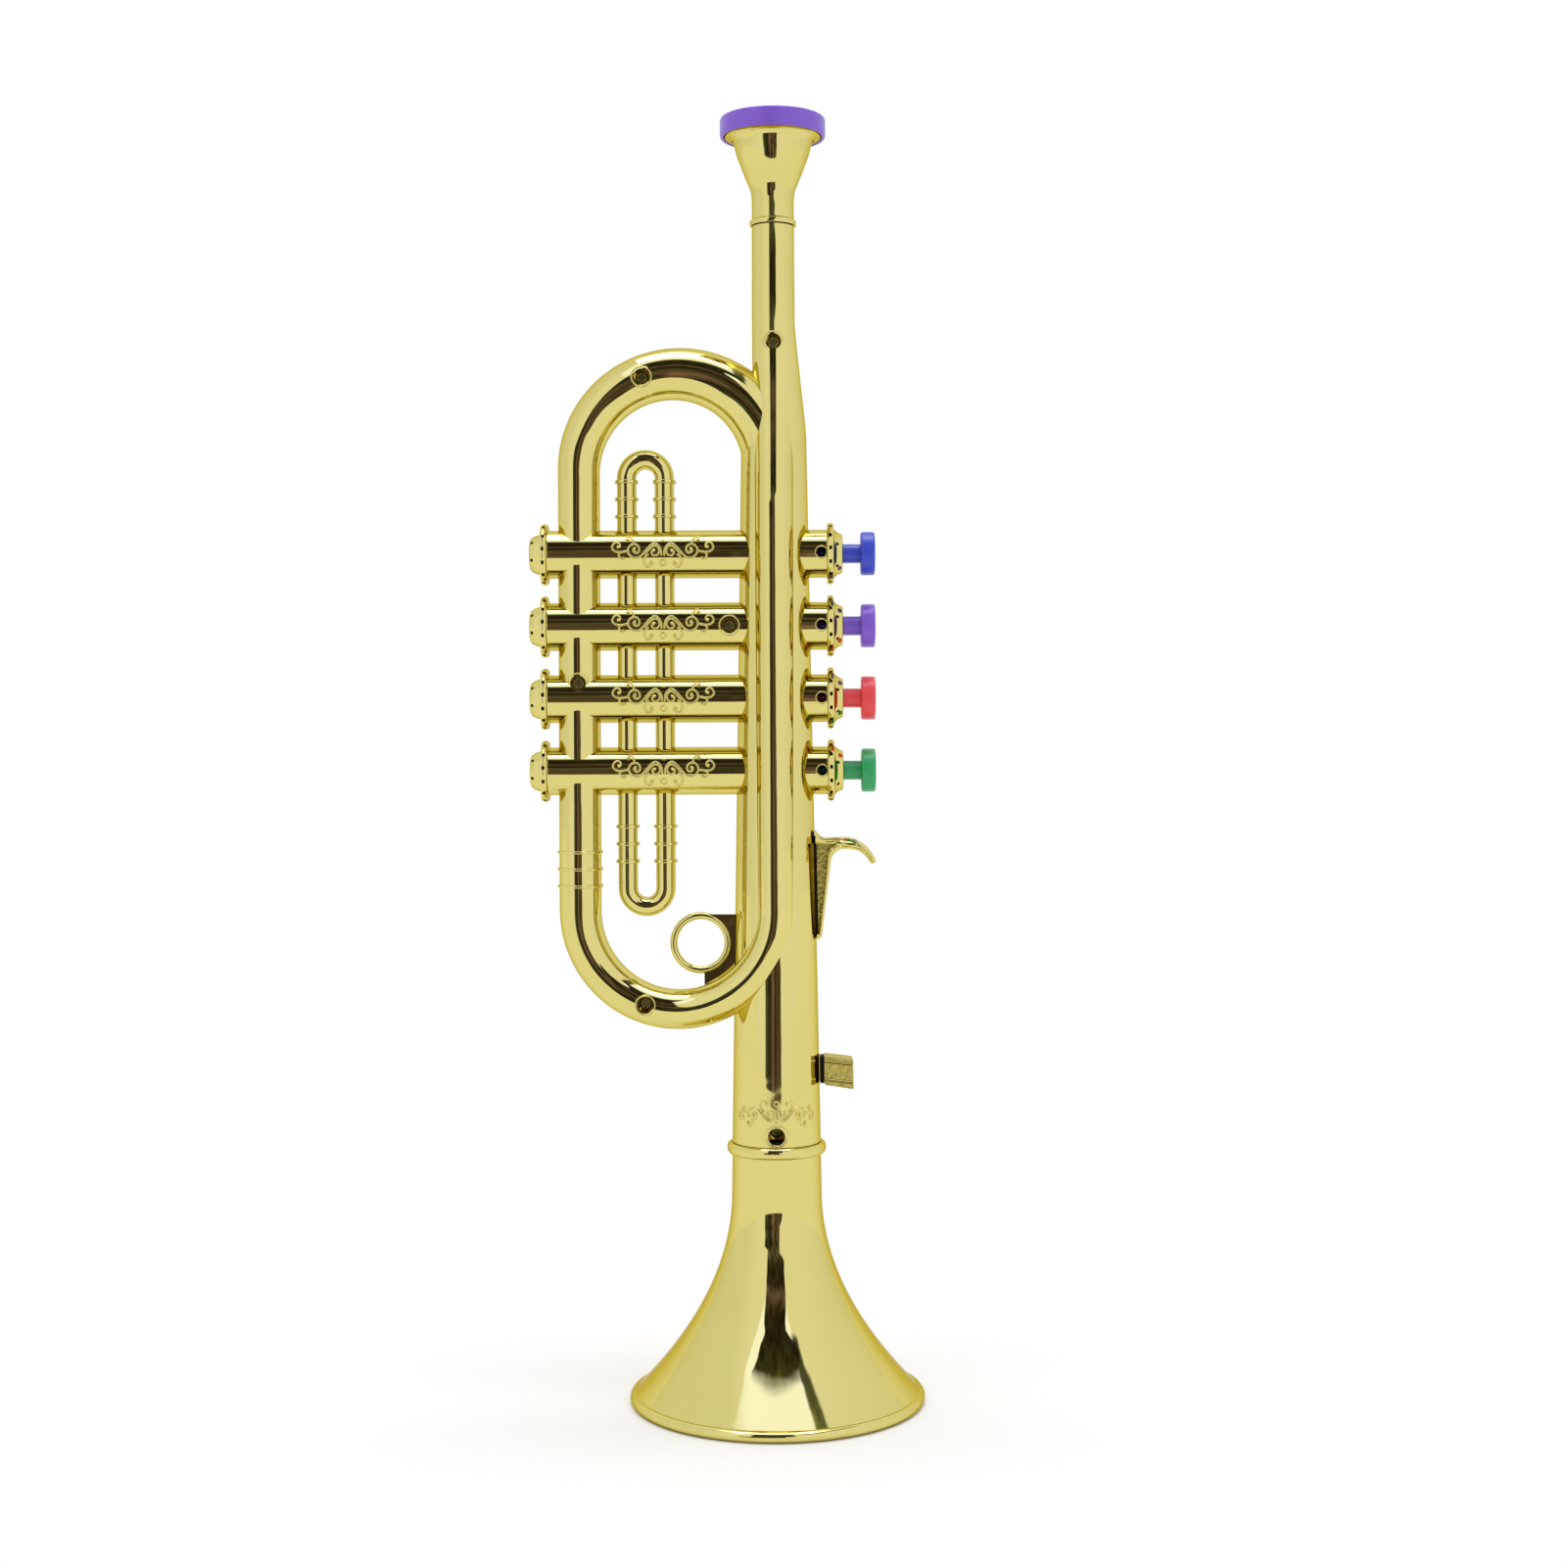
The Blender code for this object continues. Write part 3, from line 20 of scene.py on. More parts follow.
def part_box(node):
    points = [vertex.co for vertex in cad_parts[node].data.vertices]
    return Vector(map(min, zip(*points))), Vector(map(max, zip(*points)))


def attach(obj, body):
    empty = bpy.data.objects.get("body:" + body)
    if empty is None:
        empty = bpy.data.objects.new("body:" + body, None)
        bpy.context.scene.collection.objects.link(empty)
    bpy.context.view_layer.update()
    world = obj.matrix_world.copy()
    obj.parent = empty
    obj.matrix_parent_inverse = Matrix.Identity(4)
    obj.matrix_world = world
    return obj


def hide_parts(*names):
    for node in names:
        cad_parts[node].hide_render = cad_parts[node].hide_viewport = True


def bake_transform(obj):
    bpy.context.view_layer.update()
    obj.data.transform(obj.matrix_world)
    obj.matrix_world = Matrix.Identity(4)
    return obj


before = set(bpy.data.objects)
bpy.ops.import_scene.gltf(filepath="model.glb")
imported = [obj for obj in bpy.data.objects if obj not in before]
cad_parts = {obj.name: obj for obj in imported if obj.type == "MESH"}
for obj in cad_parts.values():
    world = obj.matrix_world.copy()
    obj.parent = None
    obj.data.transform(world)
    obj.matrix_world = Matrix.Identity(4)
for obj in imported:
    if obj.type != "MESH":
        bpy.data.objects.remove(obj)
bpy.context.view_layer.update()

LOG = logging.getLogger("toy_trumpet")
MM = 0.001
NEAR_ZERO = 1e-6
# These carry each corner's smooth normal and each face's skin through the cuts; the unfilmed skin
# is near black, as painted shade.
NORMALS = "surface_normal"
BARE_SHADE = "bare_plastic_painted_shade"
# A noted normal that agrees with its face by less than this cosine isn't used.
LEAST_AGREEMENT = 0.3
# How much of a side the curve at one of its ends may take.
CORNER_SHARE = 0.49
# How far a piece that stands on the bell tube sinks into it.
TOUCH = 0.05
MATH, RANGE, MIX = "ShaderNodeMath", "ShaderNodeMapRange", "ShaderNodeMix"
VECTOR_MATH, NOISE = "ShaderNodeVectorMath", "ShaderNodeTexNoise"
COORDINATES, LIGHT_PATH = "ShaderNodeTexCoord", "ShaderNodeLightPath"

Object = bpy.types.Object
Material = bpy.types.Material
Point2 = tuple[float, float]
Point3 = tuple[float, float, float]
Station = tuple[Point3, float]
Step = tuple[str, str, dict[str | int, Any], dict[str | int, str]]


class Axis(Enum):
    """The direction a turned piece is turned about."""

    X = "X"
    Z = "Z"


class Half(Enum):
    """A shell, by the side of the seam that it is on."""

    FRONT = -1
    REAR = 1


class Join(Enum):
    """How a solid is changed by another."""

    ADD = "UNION"
    CUT = "DIFFERENCE"
    KEEP = "INTERSECT"


class Skin(IntEnum):
    """The material slot that a face of a metallised moulding shows."""

    FILM = 0
    # Unfilmed plastic, near black: painted shade in the holes, pockets and gaps.
    BARE_SHADE = 1
    GRAINED = 2


# Meshes


def bell_axis_across() -> float:
    """Return the X of the bell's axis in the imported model, in metres."""
    low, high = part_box("bell")
    return (low.x + high.x) / 2


def link(name: str, data: bpy.types.ID) -> Object:
    """Make an object and put it in the scene.

    Args:
        name: The object's name.
        data: Its mesh, lamp or camera.

    Returns:
        The object.
    """
    obj = bpy.data.objects.new(name, data)
    bpy.context.scene.collection.objects.link(obj)
    return obj


def link_mesh(name: str, bm: bmesh.types.BMesh) -> Object:
    """Make an object from a mesh and put it in the scene.

    Args:
        name: The object's name.
        bm: The mesh, which is freed.

    Returns:
        The object.
    """
    mesh = bpy.data.meshes.new(name)
    bm.to_mesh(mesh)
    bm.free()
    return link(name, mesh)


def read(items: Any, name: str, width: int, kind: type = np.float32) -> np.ndarray:
    """Read one property of all items of a mesh.

    Args:
        items: The mesh's corners, faces or attribute values.
        name: The property.
        width: How many numbers each item has.
        kind: The numbers' type.

    Returns:
        One row for each item, or one number where the width is 1.
    """
    made = np.empty(len(items) * width, kind)
    items.foreach_get(name, made)
    return made.reshape(-1, width) if width > 1 else made


def solid(name: str, bm: bmesh.types.BMesh, sharp: float = 38.0) -> Object:
    """Make an object from a closed mesh in millimetres, and note its smooth normals.

    Args:
        name: The object's name.
        bm: The mesh, which is freed.
        sharp: Edges that turn by more than this many degrees are sharp.

    Returns:
        The object, in metres and in its place.
    """
    bmesh.ops.recalc_face_normals(bm, faces=bm.faces)
    bmesh.ops.scale(bm, vec=(MM, MM, MM), verts=bm.verts)
    bmesh.ops.translate(bm, vec=(bell_axis_across(), 0, 0), verts=bm.verts)
    obj = link_mesh(name, bm)
    mesh = obj.data
    mesh.shade_smooth()
    mesh.set_sharp_from_angle(angle=math.radians(sharp))
    normals = read(mesh.corner_normals, "vector", 3).ravel()
    mesh.attributes.new(NORMALS, "FLOAT_VECTOR", "CORNER").data.foreach_set("vector", normals)
    mesh.attributes.new(BARE_SHADE, "INT", "FACE")
    return obj


def combine(target: Object, tools: Sequence[Object], how: Join, bare_shade: bool = False) -> None:
    """Change a solid by others, which are used up.

    Args:
        target: The solid that is changed.
        tools: The other solids.
        how: Whether they are added, cut away or kept in common.
        bare_shade: Whether the faces that they leave are unfilmed plastic, near black as painted
            shade.
    """
    for tool in tools:
        if bare_shade:
            skins = [int(Skin.BARE_SHADE)] * len(tool.data.polygons)
            tool.data.attributes[BARE_SHADE].data.foreach_set("value", skins)
        change = target.modifiers.new(tool.name, "BOOLEAN")
        change.operation = how.value
        change.solver = "MANIFOLD"
        change.object = tool
    bpy.context.view_layer.update()
    made = target.evaluated_get(bpy.context.evaluated_depsgraph_get())
    mesh = bpy.data.meshes.new_from_object(made)
    target.modifiers.clear()
    target.data = mesh
    for tool in tools:
        bpy.data.objects.remove(tool, do_unlink=True)


def settle(obj: Object) -> Object:
    """Shade a solid by the noted normals of the surfaces that it was made from.

    Args:
        obj: The solid, with its noted normals and skins.

    Returns:
        The same solid.
    """
    mesh = obj.data
    noted = read(mesh.attributes[NORMALS].data, "vector", 3)
    sizes = read(mesh.polygons, "loop_total", 1, np.int32)
    faces = np.repeat(read(mesh.polygon_normals, "vector", 3), sizes, axis=0)
    facing = (noted * faces).sum(axis=1)
    noted[facing < 0] *= -1
    weak = np.abs(facing) < LEAST_AGREEMENT
    noted[weak] = faces[weak]
    noted /= np.maximum(np.linalg.norm(noted, axis=1), NEAR_ZERO)[:, None]
    skins = read(mesh.attributes[BARE_SHADE].data, "value", 1, np.int32)
    for name in (NORMALS, BARE_SHADE):
        mesh.attributes.remove(mesh.attributes[name])
    mesh.polygons.foreach_set("material_index", skins)
    mesh.shade_smooth()
    mesh.normals_split_custom_set(noted.tolist())
    return obj


def merged(name: str, parts: Sequence[Object]) -> Object:
    """Put several solids into one object without changing them.

    Args:
        name: The object's name.
        parts: The solids, which are used up.

    Returns:
        The object.
    """
    bm = bmesh.new()
    for part in parts:
        bm.from_mesh(part.data)
        bpy.data.objects.remove(part, do_unlink=True)
    return link_mesh(name, bm)


def rounded(points: Sequence[Point2], radius: float, steps: int = 4) -> list[Point2]:
    """Round the inner corners of an open outline.

    Args:
        points: The outline.
        radius: How far along each side a corner's curve starts.
        steps: How many pieces each curve has.

    Returns:
        The outline with its corners rounded.
    """
    made = [points[0]]
    for before, corner, after in zip(points, points[1:], points[2:]):
        here, back, on = Vector(corner), Vector(before), Vector(after)
        reach_back = min(radius, (back - here).length * CORNER_SHARE)
        reach_on = min(radius, (on - here).length * CORNER_SHARE)
        start = here + (back - here).normalized() * reach_back
        end = here + (on - here).normalized() * reach_on
        for step in range(steps + 1):
            share = step / steps
            made.append(tuple(start.lerp(here, share).lerp(here.lerp(end, share), share)))
    return made + [points[-1]]


def arc(first: float, last: float, steps: int) -> list[Point2]:
    """Return the cosine and sine at equal steps from one angle to another."""
    angles = [first + (last - first) * step / steps for step in range(steps + 1)]
    return [(math.cos(angle), math.sin(angle)) for angle in angles]


def flowing(points: Sequence[Point2], steps: int = 6) -> list[Point2]:
    """Run a smooth curve through points.

    Args:
        points: The points.
        steps: How many pieces lie between two points.

    Returns:
        The curve's points.
    """
    last = len(points) - 1
    made = []
    for number in range(last):
        picks = [min(max(number + offset, 0), last) for offset in (-1, 0, 1, 2)]
        a, b, c, d = (Vector(points[pick]) for pick in picks)
        for step in range(steps):
            t = step / steps
            place = b * 2 + (c - a) * t + (a * 2 - b * 5 + c * 4 - d) * t**2
            place += (b * 3 - a - c * 3 + d) * t**3
            made.append(tuple(place / 2))
    return made + [points[-1]]


def side_angles(sides: int) -> list[float]:
    """Return the angle at the middle of each of a full turn's equal sides."""
    return [2 * math.pi * (side + 0.5) / sides for side in range(sides)]


def join_rings(
    bm: bmesh.types.BMesh, rings: Sequence[list[bmesh.types.BMVert]], closed: bool
) -> None:
    """Lay faces from each ring of corners to the next.

    Args:
        bm: The mesh.
        rings: The rings, of which some may be a single corner.
        closed: Whether the last ring joins the first.
    """
    sides = max(len(ring) for ring in rings)
    for first, second in zip(rings, rings[1:] + rings[:1] if closed else rings[1:]):
        for side in range(sides):
            corners = []
            on = side + 1
            for ring, place in ((first, side), (first, on), (second, on), (second, side)):
                corner = ring[place % len(ring)]
                if corner not in corners:
                    corners.append(corner)
            bm.faces.new(corners)


def sweep(
    name: str, stations: Sequence[Station], sides: int, closed: bool = False,
    lie: Vector = Vector((0, 1, 0)),
) -> Object:
    """Draw a round bar through centres with their radii.

    Args:
        name: The solid's name.
        stations: Each centre and the radius there.
        sides: How many sides the bar has.
        closed: Whether its ends meet.
        lie: A direction that the path never follows.

    Returns:
        The solid.
    """
    bm = bmesh.new()
    rings = []
    last = len(stations) - 1
    for number, (centre, radius) in enumerate(stations):
        before = number - 1 if closed else max(number - 1, 0)
        after = (number + 1) % len(stations) if closed else min(number + 1, last)
        along = (Vector(stations[after][0]) - Vector(stations[before][0])).normalized()
        across = along.cross(lie).normalized()
        up = across.cross(along)
        rings.append([])
        for angle in side_angles(sides):
            offset = (across * math.cos(angle) + up * math.sin(angle)) * radius
            rings[-1].append(bm.verts.new(Vector(centre) + offset))
    join_rings(bm, rings, closed)
    if not closed:
        bm.faces.new(rings[0])
        bm.faces.new(rings[-1])
    return solid(name, bm)


def turned(
    name: str, profile: Sequence[Point2], axis: Axis = Axis.Z, height: float = 0.0,
    sides: int = 96,
) -> Object:
    """Turn a profile about the bell's axis or a barrel's.

    Args:
        name: The solid's name.
        profile: Points of radius and place along the axis. One that starts off the axis
            closes on itself.
        axis: What it is turned about.
        height: The height of an X axis.
        sides: How many sides it has.

    Returns:
        The solid.
    """
    bm = bmesh.new()
    rings = []
    for radius, along in profile:
        rings.append([])
        for angle in side_angles(sides)[: sides if radius > NEAR_ZERO else 1]:
            first, second = radius * math.cos(angle), radius * math.sin(angle)
            place = (along, first, height + second) if axis is Axis.X else (first, second, along)
            rings[-1].append(bm.verts.new(place))
    join_rings(bm, rings, profile[0][0] > NEAR_ZERO)
    return solid(name, bm)


def plate(
    name: str, outline: Sequence[Point2], near: float, far: float, edge: float = 0.0
) -> Object:
    """Extrude an outline of across and height between two depths.

    Args:
        name: The solid's name.
        outline: The closed outline.
        near: The Y of one face.
        far: The Y of the other.
        edge: How far in the rounding of its edges starts.

    Returns:
        The solid.
    """
    bm = bmesh.new()
    faces, rims = [], []
    for depth in (near, far):
        faces.append([bm.verts.new((across, depth, height)) for across, height in outline])
        rims += bm.faces.new(faces[-1]).edges
    count = len(outline)
    for number in range(count):
        on = (number + 1) % count
        bm.faces.new((faces[0][number], faces[0][on], faces[1][on], faces[1][number]))
    bmesh.ops.recalc_face_normals(bm, faces=bm.faces)
    if edge:
        bmesh.ops.bevel(bm, geom=rims, offset=edge, segments=4, profile=0.5, affect="EDGES")
    large = [face for face in bm.faces if len(face.verts) > 4]
    bmesh.ops.triangulate(bm, faces=large, ngon_method="EAR_CLIP")
    return solid(name, bm, 35)


def blocks(name: str, places: Sequence[Matrix], size: Point3) -> Object:
    """Make many equal blocks as one object, to cut pockets with.

    Args:
        name: The object's name.
        places: Each block's place and turn.
        size: Their size.

    Returns:
        The object.
    """
    bm = bmesh.new()
    for place in places:
        made = bmesh.ops.create_cube(bm, size=1)
        bmesh.ops.scale(bm, vec=size, verts=made["verts"])
        bmesh.ops.transform(bm, matrix=place, verts=made["verts"])
    return solid(name, bm)


def rod(name: str, start: Sequence[float], end: Sequence[float], radius: float) -> Object:
    """Make a plain bar between two points, to cut or to join with.

    Args:
        name: The solid's name.
        start: Its first end.
        end: Its other end.
        radius: Its radius.

    Returns:
        The solid.
    """
    lies_deep = abs(end[1] - start[1]) > NEAR_ZERO
    lie = Vector((0, 0, 1)) if lies_deep else Vector((0, 1, 0))
    return sweep(name, [(tuple(start), radius), (tuple(end), radius)], 48, lie=lie)


# Finishes


def linear(colour: str) -> tuple[float, float, float, float]:
    """Turn an sRGB colour to a linear one.

    Args:
        colour: Its six hex digits.

    Returns:
        The linear red, green, blue and alpha.
    """
    values = (int(colour[place : place + 2], 16) / 255 for place in (0, 2, 4))
    made = [v / 12.92 if v <= 0.04045 else ((v + 0.055) / 1.055) ** 2.4 for v in values]
    return (made[0], made[1], made[2], 1.0)


def node_material(name: str) -> tuple[Material, bpy.types.NodeTree]:
    """Make a material that is drawn by nodes.

    Args:
        name: The material's name.

    Returns:
        The material and its node tree.
    """
    material = bpy.data.materials.new(name)
    material.use_nodes = True
    return material, material.node_tree


def add_node(
    tree: bpy.types.NodeTree, kind: str, settings: dict[str | int, Any],
    links: dict[str | int, bpy.types.NodeSocket],
) -> bpy.types.Node:
    """Add a node with its settings and links.

    Args:
        tree: The tree it goes in.
        kind: The node's type.
        settings: Values by the name or number of an input, or by the node's own property.
        links: The output that each named or numbered input takes.

    Returns:
        The node.
    """
    node = tree.nodes.new(kind)
    for name, value in settings.items():
        if isinstance(name, int) or name in node.inputs:
            node.inputs[name].default_value = value
        else:
            setattr(node, name, value)
    for name, source in links.items():
        tree.links.new(source, node.inputs[name])
    return node


def add_steps(
    tree: bpy.types.NodeTree, steps: Sequence[Step], **given: bpy.types.Node
) -> dict[str, bpy.types.Node]:
    """Add nodes in turn, each of which may take the outputs of the ones before it.

    Args:
        tree: The tree they go in.
        steps: Each node's name here, its type, its settings and, for each input, the name of
            the node that it takes, with a colon and the output's name or number where that
            isn't the first.
        **given: Nodes of the tree that the steps may also take, by the name that they go by.

    Returns:
        The nodes by name.
    """
    made = dict(given)
    for name, kind, settings, links in steps:
        sockets = {}
        for socket, source in links.items():
            giver, _, output = source.partition(":")
            sockets[socket] = made[giver].outputs[int(output) if output.isdigit() else output or 0]
        made[name] = add_node(tree, kind, settings, sockets)
    return made


def eased(start: float, end: float, low: float = 0.0, high: float = 1.0) -> dict[str, Any]:
    """Set a smooth passage from one level to another.

    Args:
        start: The value at which it starts.
        end: The value at which it ends.
        low: The level before it.
        high: The level after it.

    Returns:
        The settings of the node that draws it.
    """
    return {"interpolation_type": "SMOOTHSTEP", "From Min": start, "From Max": end,
            "To Min": low, "To Max": high}


@dataclass(frozen=True)
class Finish:
    """A finish whose colour, gloss and relief all vary a little over the surface.

    The sizes are of the real surface's features, in millimetres.
    """

    name: str
    light: str
    dark: str
    metallic: float
    smooth: float
    rough: float
    patch: float = 14.0
    grain: float = 0.6
    relief: float = 0.01
    relief_size: float = 2.0
    stretch: Point3 = (1.0, 1.0, 1.0)
    tint: str = "FFFFFF"
    sockets: dict[str, float] = field(default_factory=dict)

    def steps(self) -> list[Step]:
        """Vary the colour, the gloss and the relief.

        Returns:
            The nodes, of which colour, gloss and bump go to the shader.
        """
        noises = (("patches", self.patch, 3.0), ("grains", self.grain, 2.0),
                  ("waves", self.relief_size, 1.0))
        drawn = [
            ("place", COORDINATES, {}, {}),
            ("vector", "ShaderNodeMapping", {"Scale": self.stretch}, {"Vector": "place:Object"}),
        ]
        for name, size, detail in noises:
            drawn.append((name, NOISE, {"Scale": 1 / (size * MM), "Detail": detail},
                          {"Vector": "vector"}))
        return drawn + [
            ("colour", MIX, {"data_type": "RGBA", 6: linear(self.dark), 7: linear(self.light)},
             {0: "patches"}),
            ("gloss", RANGE, {"From Min": 0.3, "From Max": 0.7, "To Min": self.smooth,
                              "To Max": self.rough}, {"Value": "grains"}),
            ("bump", "ShaderNodeBump", {"Strength": 1.0, "Distance": self.relief * MM},
             {"Height": "waves"}),
        ]

    def material(self) -> Material:
        """Build the material.

        Returns:
            The material.
        """
        material, tree = node_material(self.name)
        inputs = tree.nodes["Principled BSDF"].inputs
        inputs["Metallic"].default_value = self.metallic
        inputs["Specular Tint"].default_value = linear(self.tint)
        for socket, value in self.sockets.items():
            inputs[socket].default_value = value
        made = add_steps(tree, self.steps())
        tree.links.new(made["colour"].outputs[2], inputs["Base Color"])
        tree.links.new(made["gloss"].outputs[0], inputs["Roughness"])
        tree.links.new(made["bump"].outputs[0], inputs["Normal"])
        return material


# ABS, moulded, vacuum-metallised and lacquered pale gold: it mirrors what stands round it,
# with the slight waves of the moulding under the film.
GOLD = Finish(
    "metallised_abs_gold", "E1D585", "DACD7A", 1.0, 0.03, 0.055,
    patch=24, grain=3.0, relief=0.06, relief_size=8.0, tint="D2C182",
)
# The same film over the fine raised lines of the scrollwork, where it is a little dull.
RELIEF_GOLD = Finish(
    "metallised_abs_relief", "E1D585", "DACD7A", 1.0, 0.26, 0.38, patch=12, grain=1.0,
    relief=0.004, tint="D2C182",
)
# The same film over a coarse, spark-textured mould face: it glitters, light against dark.
GRAINED_GOLD = Finish(
    "metallised_abs_grained", "D8C86C", "8C7C3C", 1.0, 0.3, 0.45,
    patch=1.2, grain=0.5, relief=0.5, relief_size=1.1, tint="D4C272",
)
# The same moulding where the film hardly reaches, coloured near black as painted shade in the
# holes, pockets and gaps.
SHADED_BARE_ABS = Finish(
    "moulded_abs_unmetallised_painted_shade", "221D12", "16130C", 0.0, 0.5, 0.7, patch=2, grain=0.3,
    sockets={"Specular IOR Level": 0.1},
)
# ABS, moulded and glossy, coloured right through.
PLASTICS = {
    name: Finish(
        f"abs_moulded_{name}", light, dark, 0.0, 0.33, 0.345, patch=5, grain=4, relief=0.001,
        sockets={"IOR": 1.53},
    )
    for name, light, dark in (
        ("blue", "3448CE", "2C40C0"), ("purple", "8459D6", "7A50C8"),
        ("red", "F2484C", "E83E44"), ("green", "2BA862", "249C58"),
    )
}
# Steel, cold formed, zinc plated and passivated yellow, made darker for the heads at the foot of
# the recesses: partly its own colour, partly painted shade.
SCREW_STEEL = Finish(
    "zinc_plated_screw_steel", "948C5A", "6A6440", 1.0, 0.3, 0.5, patch=3, grain=0.3,
)
# Steel wire, drawn and zinc plated: bright, with a slight blue.
ZINC = Finish(
    "zinc_plated_spring_steel", "C6CACD", "A7ABB0", 1.0, 0.22, 0.4, patch=2, grain=0.2,
    relief=0.004, relief_size=0.3,
)
# Brass strip, rolled: fine lines run along each reed.
BRASS = Finish(
    "rolled_brass", "D9B56A", "C49C50", 1.0, 0.2, 0.38, patch=2, grain=0.25,
    relief=0.004, relief_size=0.3, stretch=(1.0, 6.0, 0.6),
)
# Silicone rubber, moulded: matt black with a fine bloom.
RUBBER = Finish(
    "moulded_rubber_black", "242424", "191919", 0.0, 0.6, 0.8, patch=3, grain=0.3,
    relief=0.01, relief_size=0.4,
)
# Polypropylene, moulded and undyed: off-white with a low gloss.
WHITE = Finish(
    "moulded_polypropylene_white", "E9E8E0", "DEDDD3", 0.0, 0.32, 0.5, patch=8, grain=0.5,
    relief=0.006, relief_size=0.6, sockets={"IOR": 1.49},
)


def dress(obj: Object, materials: Sequence[Material], body: str, slot: str, *nodes: str) -> None:
    """Give a piece its materials, its body and the nodes that it stands for.

    Args:
        obj: The piece.
        materials: Its materials, in the order of its slots.
        body: The body that it rides on.
        slot: The record's material slot, which is not used.
        *nodes: The nodes that it replaces.
    """
    slots = obj.data.materials
    for number, material in enumerate(materials):
        if number < len(slots):
            slots[number] = material
        else:
            slots.append(material)
    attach(obj, body)
    if nodes:
        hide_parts(*nodes)
    LOG.info("%s: %d faces on %s", obj.name, len(obj.data.polygons), body)


# Sub-assemblies


@dataclass
class ScrollRelief:
    """The raised scrollwork: one half of it, which is mirrored to make the whole."""

    wire: float = 0.35
    knob: float = 0.6
    strokes: tuple[tuple[Point2, ...], ...] = (
        ((0.4, -0.9), (0.5, 0.5), (1.04, 1.9), (2.3, 2.8), (3.7, 2.1), (5.0, 0.66),
         (6.2, -0.75), (7.3, -1.4), (8.9, -1.3), (10.0, -0.35), (10.25, 1.0), (9.5, 2.2),
         (8.1, 2.45), (7.1, 1.76), (7.0, 0.5), (7.7, -0.1), (8.5, 0.35), (8.5, 1.0), (7.96, 1.1)),
        ((5.3, -0.6), (4.2, 0.8), (3.1, 1.76), (2.0, 2.0), (1.2, 1.3), (1.04, 0.2), (1.7, -0.7),
         (2.8, -0.75), (3.3, 0.0), (2.9, 0.66), (2.36, 0.5)),
        ((4.2, -0.44), (5.3, -1.4), (5.6, -2.6), (4.9, -4.0), (3.9, -3.9), (3.2, -3.2),
         (3.7, -2.7)),
        ((10.2, 0.5), (11.3, 0.3), (12.5, 0.1), (13.9, 0.35), (14.9, 1.3), (14.65, 2.5),
         (13.6, 3.1), (12.7, 2.55), (12.8, 1.76), (13.5, 1.67)),
        ((12.5, 0.1), (13.0, -0.75), (12.5, -1.6), (11.7, -1.7), (11.4, -1.2)),
        ((8.6, 2.45), (8.9, 3.8), (9.5, 4.6), (10.4, 4.6), (10.6, 4.0), (10.2, 3.55)),
    )
    rosette: tuple[tuple[Point2, float], ...] = (
        ((0.0, 3.2), 0.35), ((0.0, 3.3), 0.6), ((0.0, 3.4), 0.35),
    )
    eyelet: float = 0.8
    eyelet_height: float = -2.95
    eyelet_wire: float = 0.28
    lie: Point3 = (0.02, 1.0, 0.01)

    def line(
        self, onto: Callable[[float, float], Vector], scale: float,
        points: Sequence[tuple[Point2, float]], closed: bool = False, sides: int = 10,
    ) -> Object:
        """Draw one raised line on a surface.

        Args:
            onto: Gives the surface's point for a place in the pattern.
            scale: The pattern's size.
            points: The line's places in the pattern, with the radius there.
            closed: Whether its ends meet.
            sides: How many sides it has.

        Returns:
            The solid.
        """
        stations = [(tuple(onto(across * scale, height * scale)), radius * scale)
                    for (across, height), radius in points]
        return sweep("scroll", stations, sides, closed, Vector(self.lie))

    def lines(self, onto: Callable[[float, float], Vector], scale: float) -> list[Object]:
        """Draw both halves of the scrollwork on a surface.

        Args:
            onto: Gives the surface's point for a place in the pattern.
            scale: The pattern's size.

        Returns:
            One solid for each stroke.
        """
        made = []
        for mirror in (-1, 1):
            for stroke in self.strokes:
                path = flowing(stroke)
                points = []
                for number, (across, height) in enumerate(path):
                    # The last sixth of a stroke swells to its knob.
                    swell = max(0.0, number / (len(path) - 1) * 6 - 5)
                    radius = self.wire + (self.knob - self.wire) * swell
                    points.append(((mirror * across, height), radius))
                made.append(self.line(onto, scale, points))
        circle = arc(0, 2 * math.pi, 24)[:-1]
        eyelet = [((self.eyelet * x, self.eyelet_height + self.eyelet * z), self.eyelet_wire)
                  for x, z in circle]
        made.append(self.line(onto, scale, eyelet, closed=True))
        made.append(self.line(onto, scale, self.rosette, sides=12))
        return made


@dataclass(frozen=True)
class Spot:
    """A hole in the front of a round tube, with the thin ring that stands round it.

    It lies at a place across and up, on a tube whose centre line has that depth and radius and
    which falls away to the sides at the angle lie from +X. The ring is wire thick.
    """

    across: float
    height: float
    depth: float
    radius: float
    lie: float = 0.0
    wire: float = 0.24

    def ring(self, size: float) -> Object:
        """Make the ring.

        Args:
            size: Its radius.

        Returns:
            The solid.
        """
        stations = []
        for step in range(48):
            angle = 2 * math.pi * step / 48
            fall = self.radius - math.sqrt(
                self.radius**2 - (size * math.cos(angle - self.lie)) ** 2)
            place = (self.across + size * math.cos(angle), self.depth - self.radius + fall,
                     self.height + size * math.sin(angle))
            stations.append((place, self.wire))
        return sweep("hole_rim", stations, 10, closed=True)


